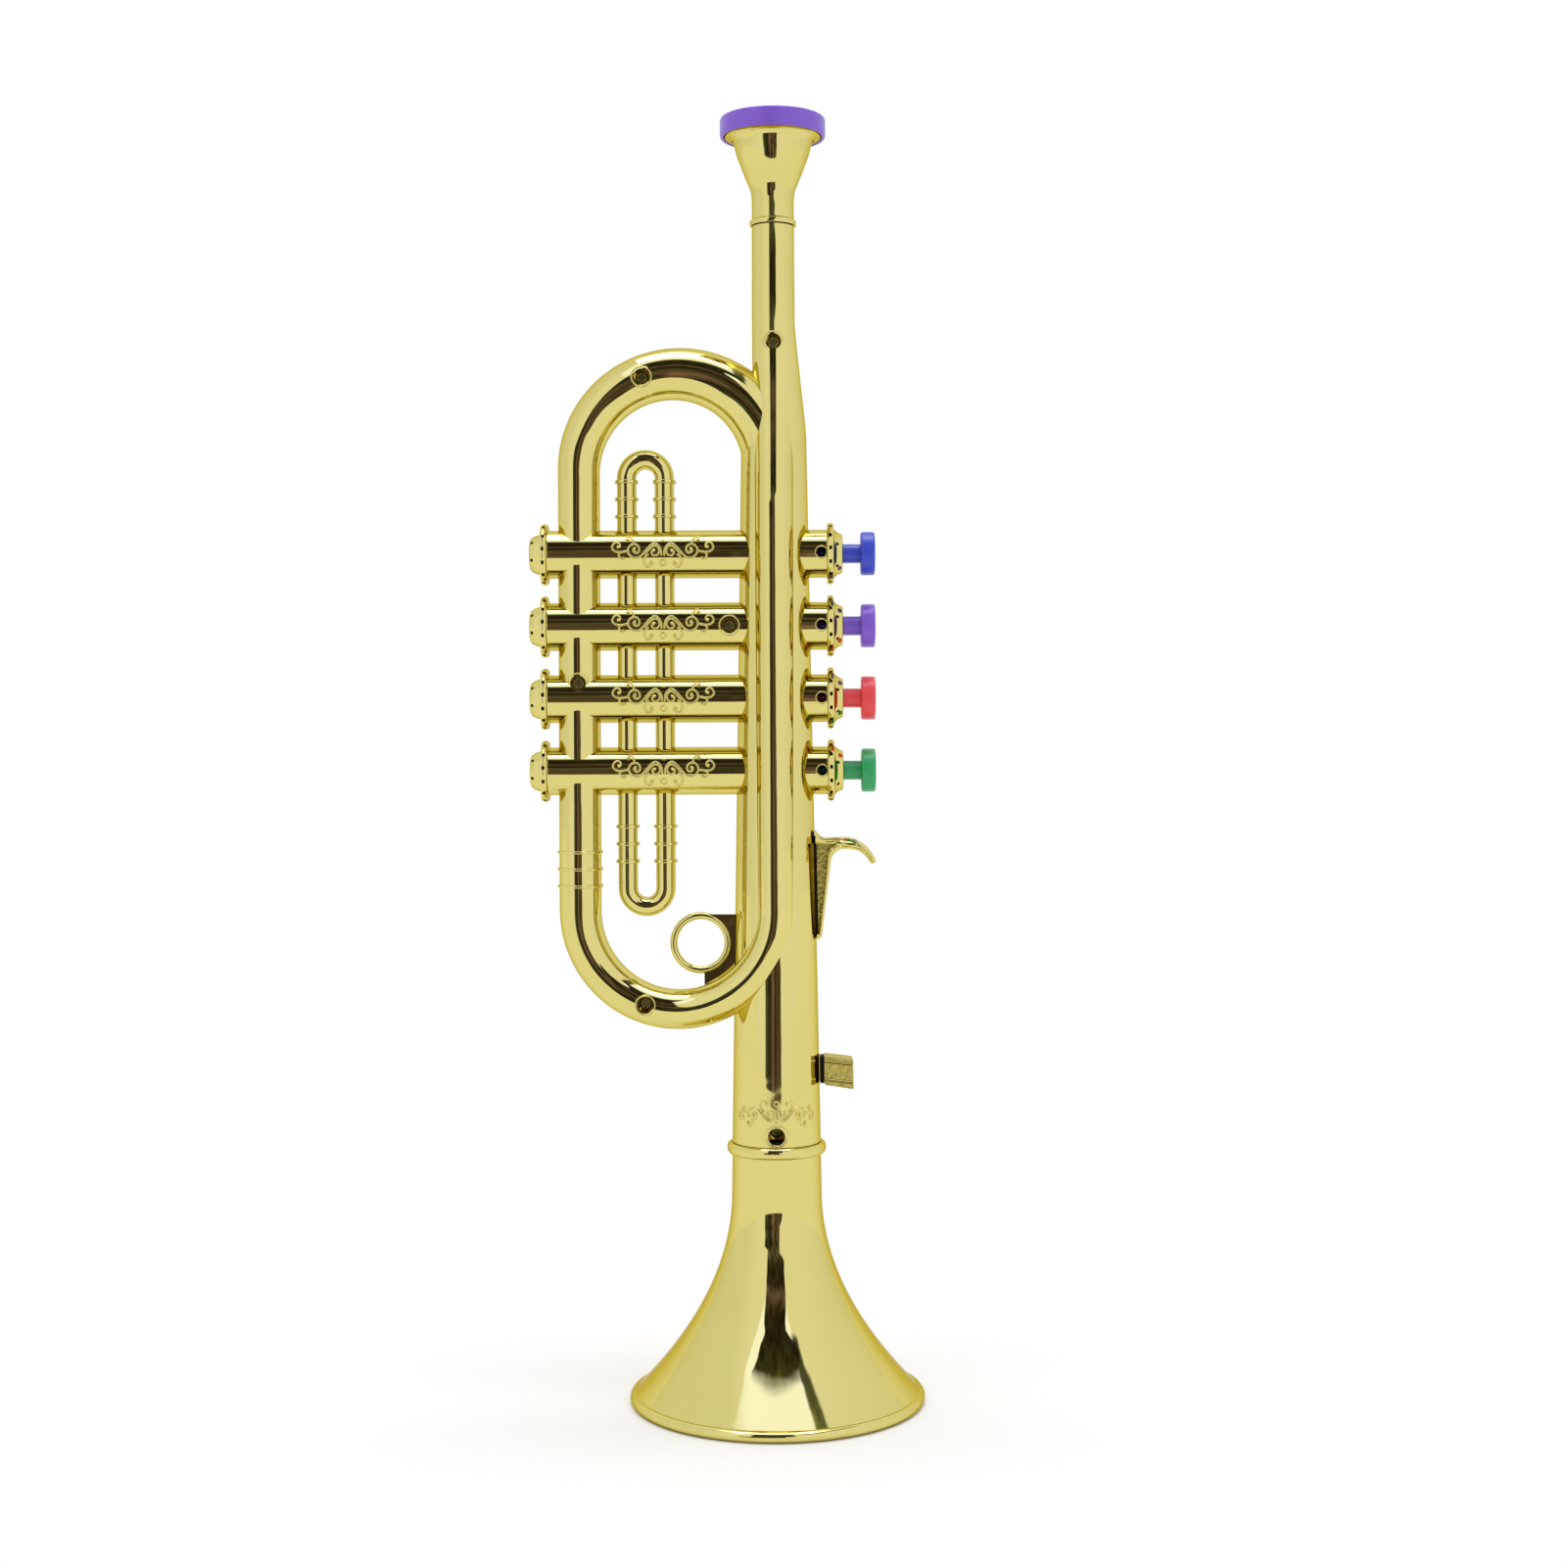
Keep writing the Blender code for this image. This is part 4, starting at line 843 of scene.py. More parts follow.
@dataclass
class Moulding:
    """Both shells: the bell tube, the tubing, the barrels and the slide, as one moulding."""

    wall: float = 1.6
    gap: float = 0.3
    foot: float = 74.8
    foot_radius: float = 12.8
    shoulder: float = 280.0
    shoulder_radius: float = 9.4
    tail: float = 297.0
    tail_offset: float = 0.9
    receiver: float = 6.2
    receiver_step: float = 323.0
    receiver_play: float = 0.06
    receiver_ramp: float = 0.15
    top: float = 338.7
    lead: float = 5.4
    lead_depth: float = 8.2
    lead_start: float = 300.0
    lead_level: float = 262.0
    lead_straight: float = 250.0
    lead_curve: float = 9.0
    lower_bow: float = 141.5
    upper_bow: float = 268.2
    span: float = 56.4
    tube: float = 6.05
    bow_end: float = 9.2
    valve_top: float = 244.3
    valve_pitch: float = 20.87
    barrel: float = 6.9
    collar: float = 8.9
    collar_width: float = 1.9
    collar_ridge: float = 0.4
    cap_left: float = 3.4
    cap_right: float = 2.6
    neck_end: float = 15.2
    barrel_end: float = 65.3
    slide: float = 2.8
    slide_spacing: float = 10.9
    slide_middle: float = 37.15
    slide_top: float = 274.5
    slide_foot: float = 139.7
    bow_steps: int = 60
    knurls: int = 14
    seam: float = 0.3
    tube_rings: tuple[float, ...] = (148.6, 153.5, 158.4)
    tube_ring: tuple[float, ...] = (5.0, 6.6, 0.4, 0.25)
    slide_beads: tuple[float, ...] = (255.2, 260.2, 265.2, 155.7, 160.7, 165.7)
    slide_bead: tuple[float, ...] = (2.0, 3.4, 0.5, 0.3)
    collar_pocket: Point3 = (0.85, 1.9, 1.1)
    collar_turn: float = 18.4
    cap_pocket: Point3 = (0.8, 1.3, 0.9)
    cap_pockets: int = 6
    receiver_bore: float = 4.6
    neck_bore_start: float = 5.25
    top_screw: float = 304.8
    upper_screw: float = 110.0
    barrel_screw: float = 2.6
    tube_screw: float = 0.64
    lower_screw: float = -109.0
    foot_screw: float = 77.9
    foot_rim: float = 0.55
    screw_rim: float = 2.85
    recess: float = 2.3
    recess_floor: float = -2.6
    pillar: float = 3.1
    screw_hole: float = 1.2
    sound_across: float = 13.5
    sound_rim: float = 1.75
    sound_wire: float = 0.17
    sound_hole: float = 1.4
    stem_hole: float = 3.05
    relief_across: float = -31.9
    relief_height: float = 84.7

    @property
    def valves(self) -> list[float]:
        """The heights of the barrels, from the top."""
        return [self.valve_top - number * self.valve_pitch for number in range(4)]

    def tube_radius(self, height: float) -> float:
        """Return the bell tube's outer radius at a height."""
        share = (height - self.foot) / (self.shoulder - self.foot)
        return self.foot_radius + (self.shoulder_radius - self.foot_radius) * share

    def bell_tube(self, inset: float, foot: float) -> Object:
        """Make the bell tube's cone with its narrow tail.

        Args:
            inset: How far inside the outer surface it lies.
            foot: The height it starts from.

        Returns:
            The solid.
        """
        middle = (self.shoulder + self.tail) / 2
        tail_end = self.tail + 2 * (self.tail - middle)
        stations = [((0, 0, foot), self.tube_radius(foot) - inset)]
        for height in range(90, 280, 10):
            stations.append(((0, 0, height), self.tube_radius(height) - inset))
        # Each step's place across and up, and its radius, from the shoulder to the tail's end.
        turn = (
            (0.0, self.shoulder - 2.0, self.tube_radius(self.shoulder - 2.0)),
            (0.02, self.shoulder + 1.5, 9.2),
            (self.tail_offset / 2, middle, 8.05),
            (self.tail_offset * 0.85, self.tail - 2.5, 7.05),
            (self.tail_offset, self.tail + 0.5, 6.6),
            (self.tail_offset * 0.8, self.tail + 5.0, 6.25),
            (0.0, tail_end, self.receiver - self.gap),
        )
        for across, height, radius in turn:
            stations.append(((across, 0, height), radius - inset))
        return sweep("bell_tube", stations, 96)

    def lead_pipe(self) -> list[Station]:
        """Draw the way from the mouthpiece down to the lower bow.

        Returns:
            Each centre and the radius there.
        """
        step = self.receiver_step
        stations = [
            ((0.0, 0.0, self.top), self.receiver - self.receiver_play),
            ((0.0, 0.0, step + self.receiver_ramp), self.receiver - self.receiver_play),
            ((0.0, 0.0, step - self.receiver_ramp), self.receiver),
        ]
        way = [(0.0, step - 1.0), (0.0, self.lead_start), (self.lead_depth, self.lead_level),
               (self.lead_depth, self.lead_straight)]
        for depth, height in rounded(way, self.lead_curve, 10)[1:]:
            share = depth / self.lead_depth
            radius = self.receiver + (self.lead - self.receiver) * share
            stations.append(((0.0, -depth, height), radius))
        stations.append(((0.0, -self.lead_depth, self.lower_bow + 1.0), self.lead))
        return stations

    def lower_bow_way(self) -> list[Station]:
        """Draw the way round the lower bow, which comes forward to the lead pipe.

        Returns:
            Each centre and the radius there.
        """
        bow = self.span / 2
        stations = []
        for step, (x, z) in enumerate(arc(0, math.pi, self.bow_steps)):
            place = (-bow + bow * x, -self.lead_depth * (1 + x) / 2, self.lower_bow - bow * z)
            share = step / self.bow_steps
            stations.append((place, self.lead + (self.tube - self.lead) * share))
        return stations

    def upper_bow_way(self) -> list[Station]:
        """Draw the way round the upper bow, which widens all the way.

        Returns:
            Each centre and the radius there.
        """
        bow = self.span / 2
        stations = []
        for step, (x, z) in enumerate(arc(math.pi, 0, self.bow_steps)):
            radius = self.tube * (self.bow_end / self.tube) ** (step / self.bow_steps)
            stations.append(((-bow + bow * x, 0.0, self.upper_bow + bow * z), radius))
        return stations

    def raised_band(
        self, across: float, level: float, section: Sequence[float], sides: int
    ) -> Object:
        """Make a raised band round an upright tube.

        Args:
            across: The X of the tube.
            level: The height of the band's middle.
            section: Its inner and outer radius, half its height and how far its corners round.
            sides: How many sides it has.

        Returns:
            The solid.
        """
        inner, outer, half, curve = section
        foot, top = level - half, level + half
        outline = rounded([(inner, foot), (outer, foot), (outer, top), (inner, top)], curve)
        band = turned("raised_band", outline, sides=sides)
        band.data.transform(Matrix.Translation((across * MM, 0, 0)))
        return band

    def tubing(self) -> list[Object]:
        """Make the lead pipe, both bows and the left tube with its raised rings.

        Returns:
            The solids.
        """
        top = self.valves[0]
        lower = self.lead_pipe() + self.lower_bow_way()
        lower.append(((-self.span, 0.0, top), self.tube))
        upper = [((-self.span, 0.0, top - 2.0), self.tube)] + self.upper_bow_way()
        made = [sweep("lower_tubing", lower, 80), sweep("upper_tubing", upper, 80)]
        for level in self.tube_rings:
            made.append(self.raised_band(-self.span, level, self.tube_ring, 96))
        return made

    def tuning_slide(self) -> list[Object]:
        """Make the slim loop across the barrels, with three beads at each end of each leg.

        Returns:
            The solids.
        """
        bend = self.slide_spacing / 2
        reach = bend + self.slide
        stations = []
        for centre, first in ((self.slide_top - reach, 0.0), (self.slide_foot + reach, math.pi)):
            for x, z in arc(first, first + math.pi, 24):
                place = (-self.slide_middle + bend * x, 0.0, centre + bend * z)
                stations.append((place, self.slide))
        made = [sweep("tuning_slide", stations, 40, closed=True)]
        for side in (-1, 1):
            across = -self.slide_middle + side * bend
            for level in self.slide_beads:
                made.append(self.raised_band(across, level, self.slide_bead, 48))
        return made

    def valve_barrel(self, height: float) -> Object:
        """Make the outside of a barrel with its collars and caps.

        Args:
            height: The barrel's height.

        Returns:
            The solid.
        """
        left, right = -self.barrel_end, self.neck_end
        outer_left, outer_right = left - self.collar_width, right + self.collar_width
        shoulder = self.collar - self.collar_ridge
        outline = [
            (0.0, outer_left - self.cap_left), (4.4, outer_left - self.cap_left),
            (5.5, outer_left - 1.9),
            (5.9, outer_left), (shoulder, outer_left), (self.collar, (outer_left + left) / 2),
            (shoulder, left), (self.barrel, left), (self.barrel, right), (shoulder, right),
            (self.collar, (outer_right + right) / 2), (shoulder, outer_right),
            (7.4, outer_right), (6.2, outer_right + 1.0), (5.5, outer_right + self.cap_right),
            (0.0, outer_right + self.cap_right),
        ]
        profile = rounded(outline[:5], 0.8, 5) + rounded(outline[4:11], 0.22)[1:]
        return turned("barrel", profile + rounded(outline[10:], 0.4, 5)[1:], Axis.X, height)

    def knurl_pockets(self) -> list[Object]:
        """Make the cutters for the pockets round the collars and the caps.

        Returns:
            One object for the collars and one for the caps.
        """
        half = self.collar_width / 2
        collars = [(middle, self.collar, self.collar_turn, self.knurls)
                   for middle in (-self.barrel_end - half, self.neck_end + half)]
        caps = [
            (self.neck_end + self.collar_width + 1.0, 6.4, -22, self.cap_pockets),
            (-self.barrel_end - self.collar_width - 2.5, 5.1, 22, self.cap_pockets),
        ]
        made = []
        for name, rows, size in (("collar_pockets", collars, self.collar_pocket),
                                 ("cap_pockets", caps, self.cap_pocket)):
            spots = []
            for height in self.valves:
                for middle, radius, first, count in rows:
                    place = Matrix.Translation((middle, 0, height))
                    for number in range(count):
                        angle = math.radians(first) + 2 * math.pi * number / count
                        spots.append(place @ Matrix.Rotation(angle, 4, "X")
                                     @ Matrix.Translation((0, -radius, 0)))
            made.append(blocks(name, spots, size))
        return made

    def hollows(self) -> list[Object]:
        """Make the spaces inside, for the wind box, the pistons and the mouthpiece.

        Returns:
            The cutters.
        """
        inner = self.barrel - self.wall
        mouth, end = (0, 0, self.top + 3), (0, 0, self.lead_start)
        made = [self.bell_tube(self.wall, self.foot - 3),
                rod("receiver_bore", mouth, end, self.receiver_bore)]
        for height in self.valves:
            start = (-self.barrel_end - self.collar_width / 2, 0, height)
            made.append(rod("barrel_bore", start, (-self.tube_radius(height), 0, height), inner))
            cap = (self.neck_end + self.collar_width, 0, height)
            made.append(rod("neck_bore", (self.neck_bore_start, 0, height), cap, inner))
        return made

    def screw_spots(self) -> list[Spot]:
        """Place the six screws.

        Returns:
            The screws' holes, from the top.
        """
        bow = self.span / 2
        upper, lower = math.radians(self.upper_screw), math.radians(self.lower_screw)
        upper_share = 1 - self.upper_screw / 180
        return [
            Spot(0.0, self.top_screw, 0.0, self.receiver),
            Spot(-bow + bow * math.cos(upper), self.upper_bow + bow * math.sin(upper), 0.0,
                 self.tube * (self.bow_end / self.tube) ** upper_share, upper),
            Spot(-self.tube_radius(self.valves[1]) - self.barrel_screw, self.valves[1], 0.0,
                 self.barrel, math.pi / 2),
            Spot(-self.span, self.valves[2] + self.tube_screw * self.barrel, 0.0, self.tube),
            Spot(-bow + bow * math.cos(lower), self.lower_bow + bow * math.sin(lower),
                 -self.lead_depth * (1 + math.cos(lower)) / 2, self.tube, lower),
            Spot(0.0, self.foot_screw, 0.0, self.foot_radius, wire=self.foot_rim),
        ]

    def hole_rims(self) -> list[Object]:
        """Make the thin raised rings that follow the tubes round the screws and sound holes.

        Returns:
            The solids.
        """
        made = [spot.ring(self.screw_rim) for spot in self.screw_spots()]
        for height in self.valves:
            spot = Spot(self.sound_across, height, 0.0, self.barrel, math.pi / 2, self.sound_wire)
            made.append(spot.ring(self.sound_rim))
        return made

    def pillars(self) -> list[Object]:
        """Make the pillar round each screw.

        Returns:
            The solids.
        """
        made = []
        for spot in self.screw_spots():
            reach = spot.radius - 1.0
            low = max(spot.height, self.foot + self.pillar)
            start = (spot.across, spot.depth - reach, low)
            made.append(rod("pillar", start, (spot.across, spot.depth + reach, low), self.pillar))
        return made

    def recesses(self) -> list[Object]:
        """Make the cutters for the screw recesses, which the metal film lines.

        Returns:
            The cutters.
        """
        made = []
        for spot in self.screw_spots():
            mouth = (spot.across, spot.depth - spot.radius - 3, spot.height)
            floor = (spot.across, self.recess_floor, spot.height)
            made.append(rod("recess", mouth, floor, self.recess))
        return made

    def openings(self) -> list[Object]:
        """Make the cutters for the screws' holes, the sound holes and the stem holes.

        Returns:
            The cutters.
        """
        made = []
        for spot in self.screw_spots():
            start, end = (spot.across, -3.0, spot.height), (spot.across, 2.7, spot.height)
            made.append(rod("screw_hole", start, end, self.screw_hole))
        for height in self.valves:
            start, end = (self.sound_across, -10, height), (self.sound_across, -3.9, height)
            made.append(rod("sound_hole", start, end, self.sound_hole))
            start, end = (self.neck_end, 0, height), (22.7, 0, height)
            made.append(rod("stem_hole", start, end, self.stem_hole))
        return made

    def build(self, gold: Material, bare_shade: Material) -> None:
        """Make both shells and dress them.

        Args:
            gold: Their metal film.
            bare_shade: The plastic where the film doesn't reach, near black as painted shade in
                holes, pockets and hollows.
        """
        outside = self.bell_tube(0, self.foot)
        parts = self.tubing() + self.tuning_slide()
        parts += [self.valve_barrel(height) for height in self.valves]
        combine(outside, parts, Join.ADD)
        # The walls of the pockets, the hollows and the holes are near-black plastic: painted
        # shade.
        combine(outside, self.knurl_pockets() + self.hollows(), Join.CUT, bare_shade=True)
        combine(outside, self.pillars(), Join.ADD)
        combine(outside, self.recesses(), Join.CUT)
        combine(outside, self.openings(), Join.CUT, bare_shade=True)
        combine(outside, self.hole_rims(), Join.ADD)
        width, depth, height = 300, 100, 500
        for half, name in ((Half.FRONT, "front_shell"), (Half.REAR, "rear_shell")):
            shell = link(f"{name}_fine", outside.data.copy())
            middle = (0, half.value * (self.seam + depth) / 2, 200)
            side = blocks("side", [Matrix.Translation(middle)], (width, depth, height))
            combine(shell, [side], Join.KEEP)
            dress(settle(shell), [gold, bare_shade], "body", "metallised_gold", name)
        bpy.data.objects.remove(outside, do_unlink=True)

    def on_barrel(self, side: int, level: float, across: float, up: float) -> Vector:
        """Return a barrel's point, on one side, for a place in the scrollwork."""
        depth = side * math.sqrt(self.barrel**2 - up**2) * 0.995
        return Vector((self.relief_across + across, depth, level + up))

    def on_tube(self, side: int, across: float, up: float) -> Vector:
        """Find the bell tube's point for a place in the scrollwork, which hangs upside down.

        Args:
            side: The side that it is on, as a Half has it.
            across: The place across.
            up: The place up in the pattern.

        Returns:
            The point.
        """
        height = self.relief_height - up
        radius = self.tube_radius(height) * 0.997
        angle = across / radius
        return Vector((radius * math.sin(angle), side * radius * math.cos(angle), height))

    def build_relief(self, relief: ScrollRelief, film: Material) -> None:
        """Set the scrollwork on both sides of each barrel and of the bell tube's foot.

        Args:
            relief: The scrollwork.
            film: The metal film over it.
        """
        for half in Half:
            strokes = []
            for level in self.valves:
                strokes += relief.lines(partial(self.on_barrel, half.value, level), 0.97)
            strokes += relief.lines(partial(self.on_tube, half.value), 0.84)
            piece = merged(f"scrollwork_{half.name.lower()}", strokes)
            for noted in (NORMALS, BARE_SHADE):
                piece.data.attributes.remove(piece.data.attributes[noted])
            piece.data.shade_smooth()
            dress(piece, [film], "body", "metallised_gold")


@dataclass
class Bell:
    """The turned flare with its rolled lip, the bead at its joint and its spigot."""

    radius: float = 42.5
    throat: float = 13.0
    flare: float = 60.0
    band: float = 14.3
    band_foot: float = 71.4
    joint: float = 74.7
    lip: float = 1.6
    lip_start: float = 128.0
    wall: float = 1.6
    spigot: float = 10.9
    spigot_top: float = 85.0
    edge: float = 41.1
    edge_height: float = 2.8
    notch: Point3 = (6.8, 60.0, 16.2)
    notch_height: float = 82.9
    flare_steps: int = 63
    inner_steps: int = 47
    lip_turn: float = 210.0

    def outside(self, height: float) -> float:
        """Return the flare's outer radius at a height."""
        spread = (self.edge - self.throat) / (1 - self.edge_height / self.flare) ** 2
        return self.throat + spread * (1 - height / self.flare) ** 2

    def inside(self, height: float) -> Point2:
        """Find the point one wall inside the flare.

        Args:
            height: The height of the point outside.

        Returns:
            The radius and height of the point inside.
        """
        slope = (self.outside(height + 0.1) - self.outside(height - 0.1)) / 0.2
        length = math.hypot(1, slope)
        return self.outside(height) - self.wall / length, height + self.wall * slope / length

    def build(self, gold: Material) -> None:
        """Make the bell and dress it.

        Args:
            gold: Its metal film.
        """
        inner, root = self.spigot - self.wall, self.throat - 0.2
        profile = [(inner, self.spigot_top), (self.spigot, self.spigot_top),
                   (self.spigot, self.joint), (root, self.joint)]
        middle, half = (self.joint + self.band_foot) / 2, (self.joint - self.band_foot) / 2
        for out, up in arc(math.pi / 2, -math.pi / 2, 12):
            reach = (self.band - root) * max(0.0, out) ** 0.6
            profile.append((root + reach, middle + half * up))
        for step in range(self.flare_steps + 1):
            height = self.flare - (self.flare - 2.95) * (step / self.flare_steps) ** 0.8
            profile.append((self.outside(height), height))
        curl = self.radius - self.lip
        first, last = self.lip_start, self.lip_start - self.lip_turn
        for out, up in arc(math.radians(first), math.radians(last), 21):
            profile.append((curl + self.lip * out, self.lip + self.lip * up))
        profile.append((curl - 2.0, 0.0))
        for step in range(self.inner_steps + 1):
            rise = (self.flare - 4.8) * (step / self.inner_steps) ** 1.2
            profile.append(self.inside(2 * self.lip + 2.0 + rise))
        profile.append((inner, self.band_foot))
        bell = turned("bell_fine", profile, sides=256)
        place = Matrix.Translation((0, 0, self.notch_height))
        combine(bell, [blocks("notch", [place], self.notch)], Join.CUT)
        dress(settle(bell), [gold], "body", "metallised_gold", "bell")


@dataclass
class Mouthpiece:
    """The cup with its band, and the coloured rim that caps it."""

    length: float = 370.0
    rim_radius: float = 15.25
    rim_height: float = 5.5
    mouth: float = 8.8
    neck_bore: float = 2.2
    cup_depth: float = 18.8
    cup_radius: float = 9.0
    bowl_rise: float = 3.8
    seat: float = 10.6
    spigot: float = 4.3
    spigot_bore: float = 2.7
    spigot_foot: float = 327.7
    neck: float = 6.1
    band: float = 6.7
    foot: float = 339.0
    flange: float = 13.8
    cup_line: tuple[Point2, ...] = (
        (13.8, 364.65), (13.1, 364.6), (12.4, 364.35), (11.85, 363.9), (11.5, 363.3),
        (11.25, 362.6), (10.95, 361.4), (10.6, 359.9), (9.6, 357.1), (8.5, 354.3), (7.32, 351.4),
        (6.76, 350.0), (6.35, 348.6), (6.15, 347.2), (6.1, 345.3), (6.1, 343.2),
    )

    def build(self, gold: Material, purple: Material) -> None:
        """Make the cup and the rim and dress them.

        Args:
            gold: The cup's metal film.
            purple: The rim's plastic.
        """
        rim_foot = self.length - self.rim_height
        cup_foot, cup_top = rim_foot - self.cup_depth, rim_foot - 0.3
        outline = [(self.cup_radius, rim_foot + 3.0), (self.seat, rim_foot + 3.0),
                   (self.seat, rim_foot + 1.6)]
        outline += [(self.flange, rim_foot + 1.6)] + flowing(self.cup_line, 5)
        band_top = self.foot + 1.7
        outline += rounded(
            [(self.neck, band_top + 0.4), (self.neck, band_top), (self.band, band_top - 0.3),
             (self.band, self.foot), (self.spigot, self.foot), (self.spigot, self.spigot_foot),
             (self.spigot_bore, self.spigot_foot)], 0.25,
        )
        outline += [(self.neck_bore, cup_foot)]
        bowl_foot = cup_foot + self.bowl_rise
        for step in range(13):
            share = step / 12
            swell = math.sin(min(1.0, share / 0.6) * math.pi / 2)
            radius = self.neck_bore + (self.cup_radius - self.neck_bore) * swell
            outline.append((radius, bowl_foot + (cup_top - bowl_foot) * share))
        cup = turned("mouthpiece_fine", outline, sides=128)
        dress(settle(cup), [gold], "body", "metallised_gold", "mouthpiece")

        rim = self.rim_radius
        section = [
            (self.mouth, rim_foot + 3.3), (self.mouth, self.length - 0.9),
            (self.mouth + 0.6, self.length - 0.25), (self.mouth + 1.6, self.length),
            (rim, self.length), (rim, rim_foot), (14.1, rim_foot), (14.1, rim_foot + 1.9),
            (10.9, rim_foot + 1.9), (10.9, rim_foot + 3.3),
        ]
        ring = turned("mouthpiece_rim_fine", rounded(section, 0.8, 6), sides=128)
        dress(settle(ring), [purple], "body", "purple_plastic", "mouthpiece_rim")


@dataclass
class Button:
    """A piston of one moulding: disc, stem, stop collar and the headed pin for its pad."""

    colour: str
    height: float
    body: str
    disc: float = 6.25
    disc_left: float = 24.9
    thickness: float = 4.1
    stem: float = 2.75
    stop: float = 4.4
    stop_left: float = 15.4
    stop_right: float = 16.8
    pin: float = 1.1
    pin_head: float = 1.7
    pad_left: float = 3.5546

    def build(self, plastic: Material) -> None:
        """Make the button and dress it.

        Args:
            plastic: Its plastic.
        """
        right = self.disc_left + self.thickness
        head_right, head_left = self.pad_left - 0.3, self.pad_left - 0.9
        outline = [
            (0.0, right), (self.disc, right), (self.disc, self.disc_left),
            (self.stem, self.disc_left), (self.stem, self.stop_right),
            (self.stop, self.stop_right), (self.stop, self.stop_left), (self.pin, self.stop_left),
            (self.pin, head_right), (self.pin_head, head_right), (self.pin_head, head_left),
            (0.0, head_left),
        ]
        profile = rounded(outline[:4], 0.75, 6) + rounded(outline[3:], 0.12, 2)[1:]
        name = f"button_{self.colour}"
        button = turned(f"{name}_fine", profile, Axis.X, self.height)
        dress(settle(button), [plastic], self.body, f"{self.colour}_plastic", name)


@dataclass
class ReturnSpring:
    """The coil that pushes a button out, wound between the wind box and the stop."""

    number: int
    height: float
    coil: float = 2.9
    wire: float = 0.25
    turns: int = 4
    turn_steps: int = 32

    def build(self, steel: Material) -> None:
        """Wind the spring along its part, and hide the part.

        Args:
            steel: The steel of its wire.
        """
        node = f"spring_{self.number}"
        low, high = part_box(node)
        axis = bell_axis_across()
        start, end = (low.x - axis) / MM + self.wire, (high.x - axis) / MM - self.wire
        count = self.turns * self.turn_steps
        stations = []
        for step, (y, z) in enumerate(arc(0, 2 * math.pi * self.turns, count)):
            along = start + (end - start) * step / count
            stations.append(((along, self.coil * y, self.height + self.coil * z), self.wire))
        spring = settle(sweep(f"{node}_fine", stations, 12, lie=Vector((1, 0, 0))))
        spring.data.materials.clear()
        spring.data.materials.append(steel)
        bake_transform(spring)
        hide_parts(node)
        LOG.info("%s: %d faces, shortening", spring.name, len(spring.data.polygons))


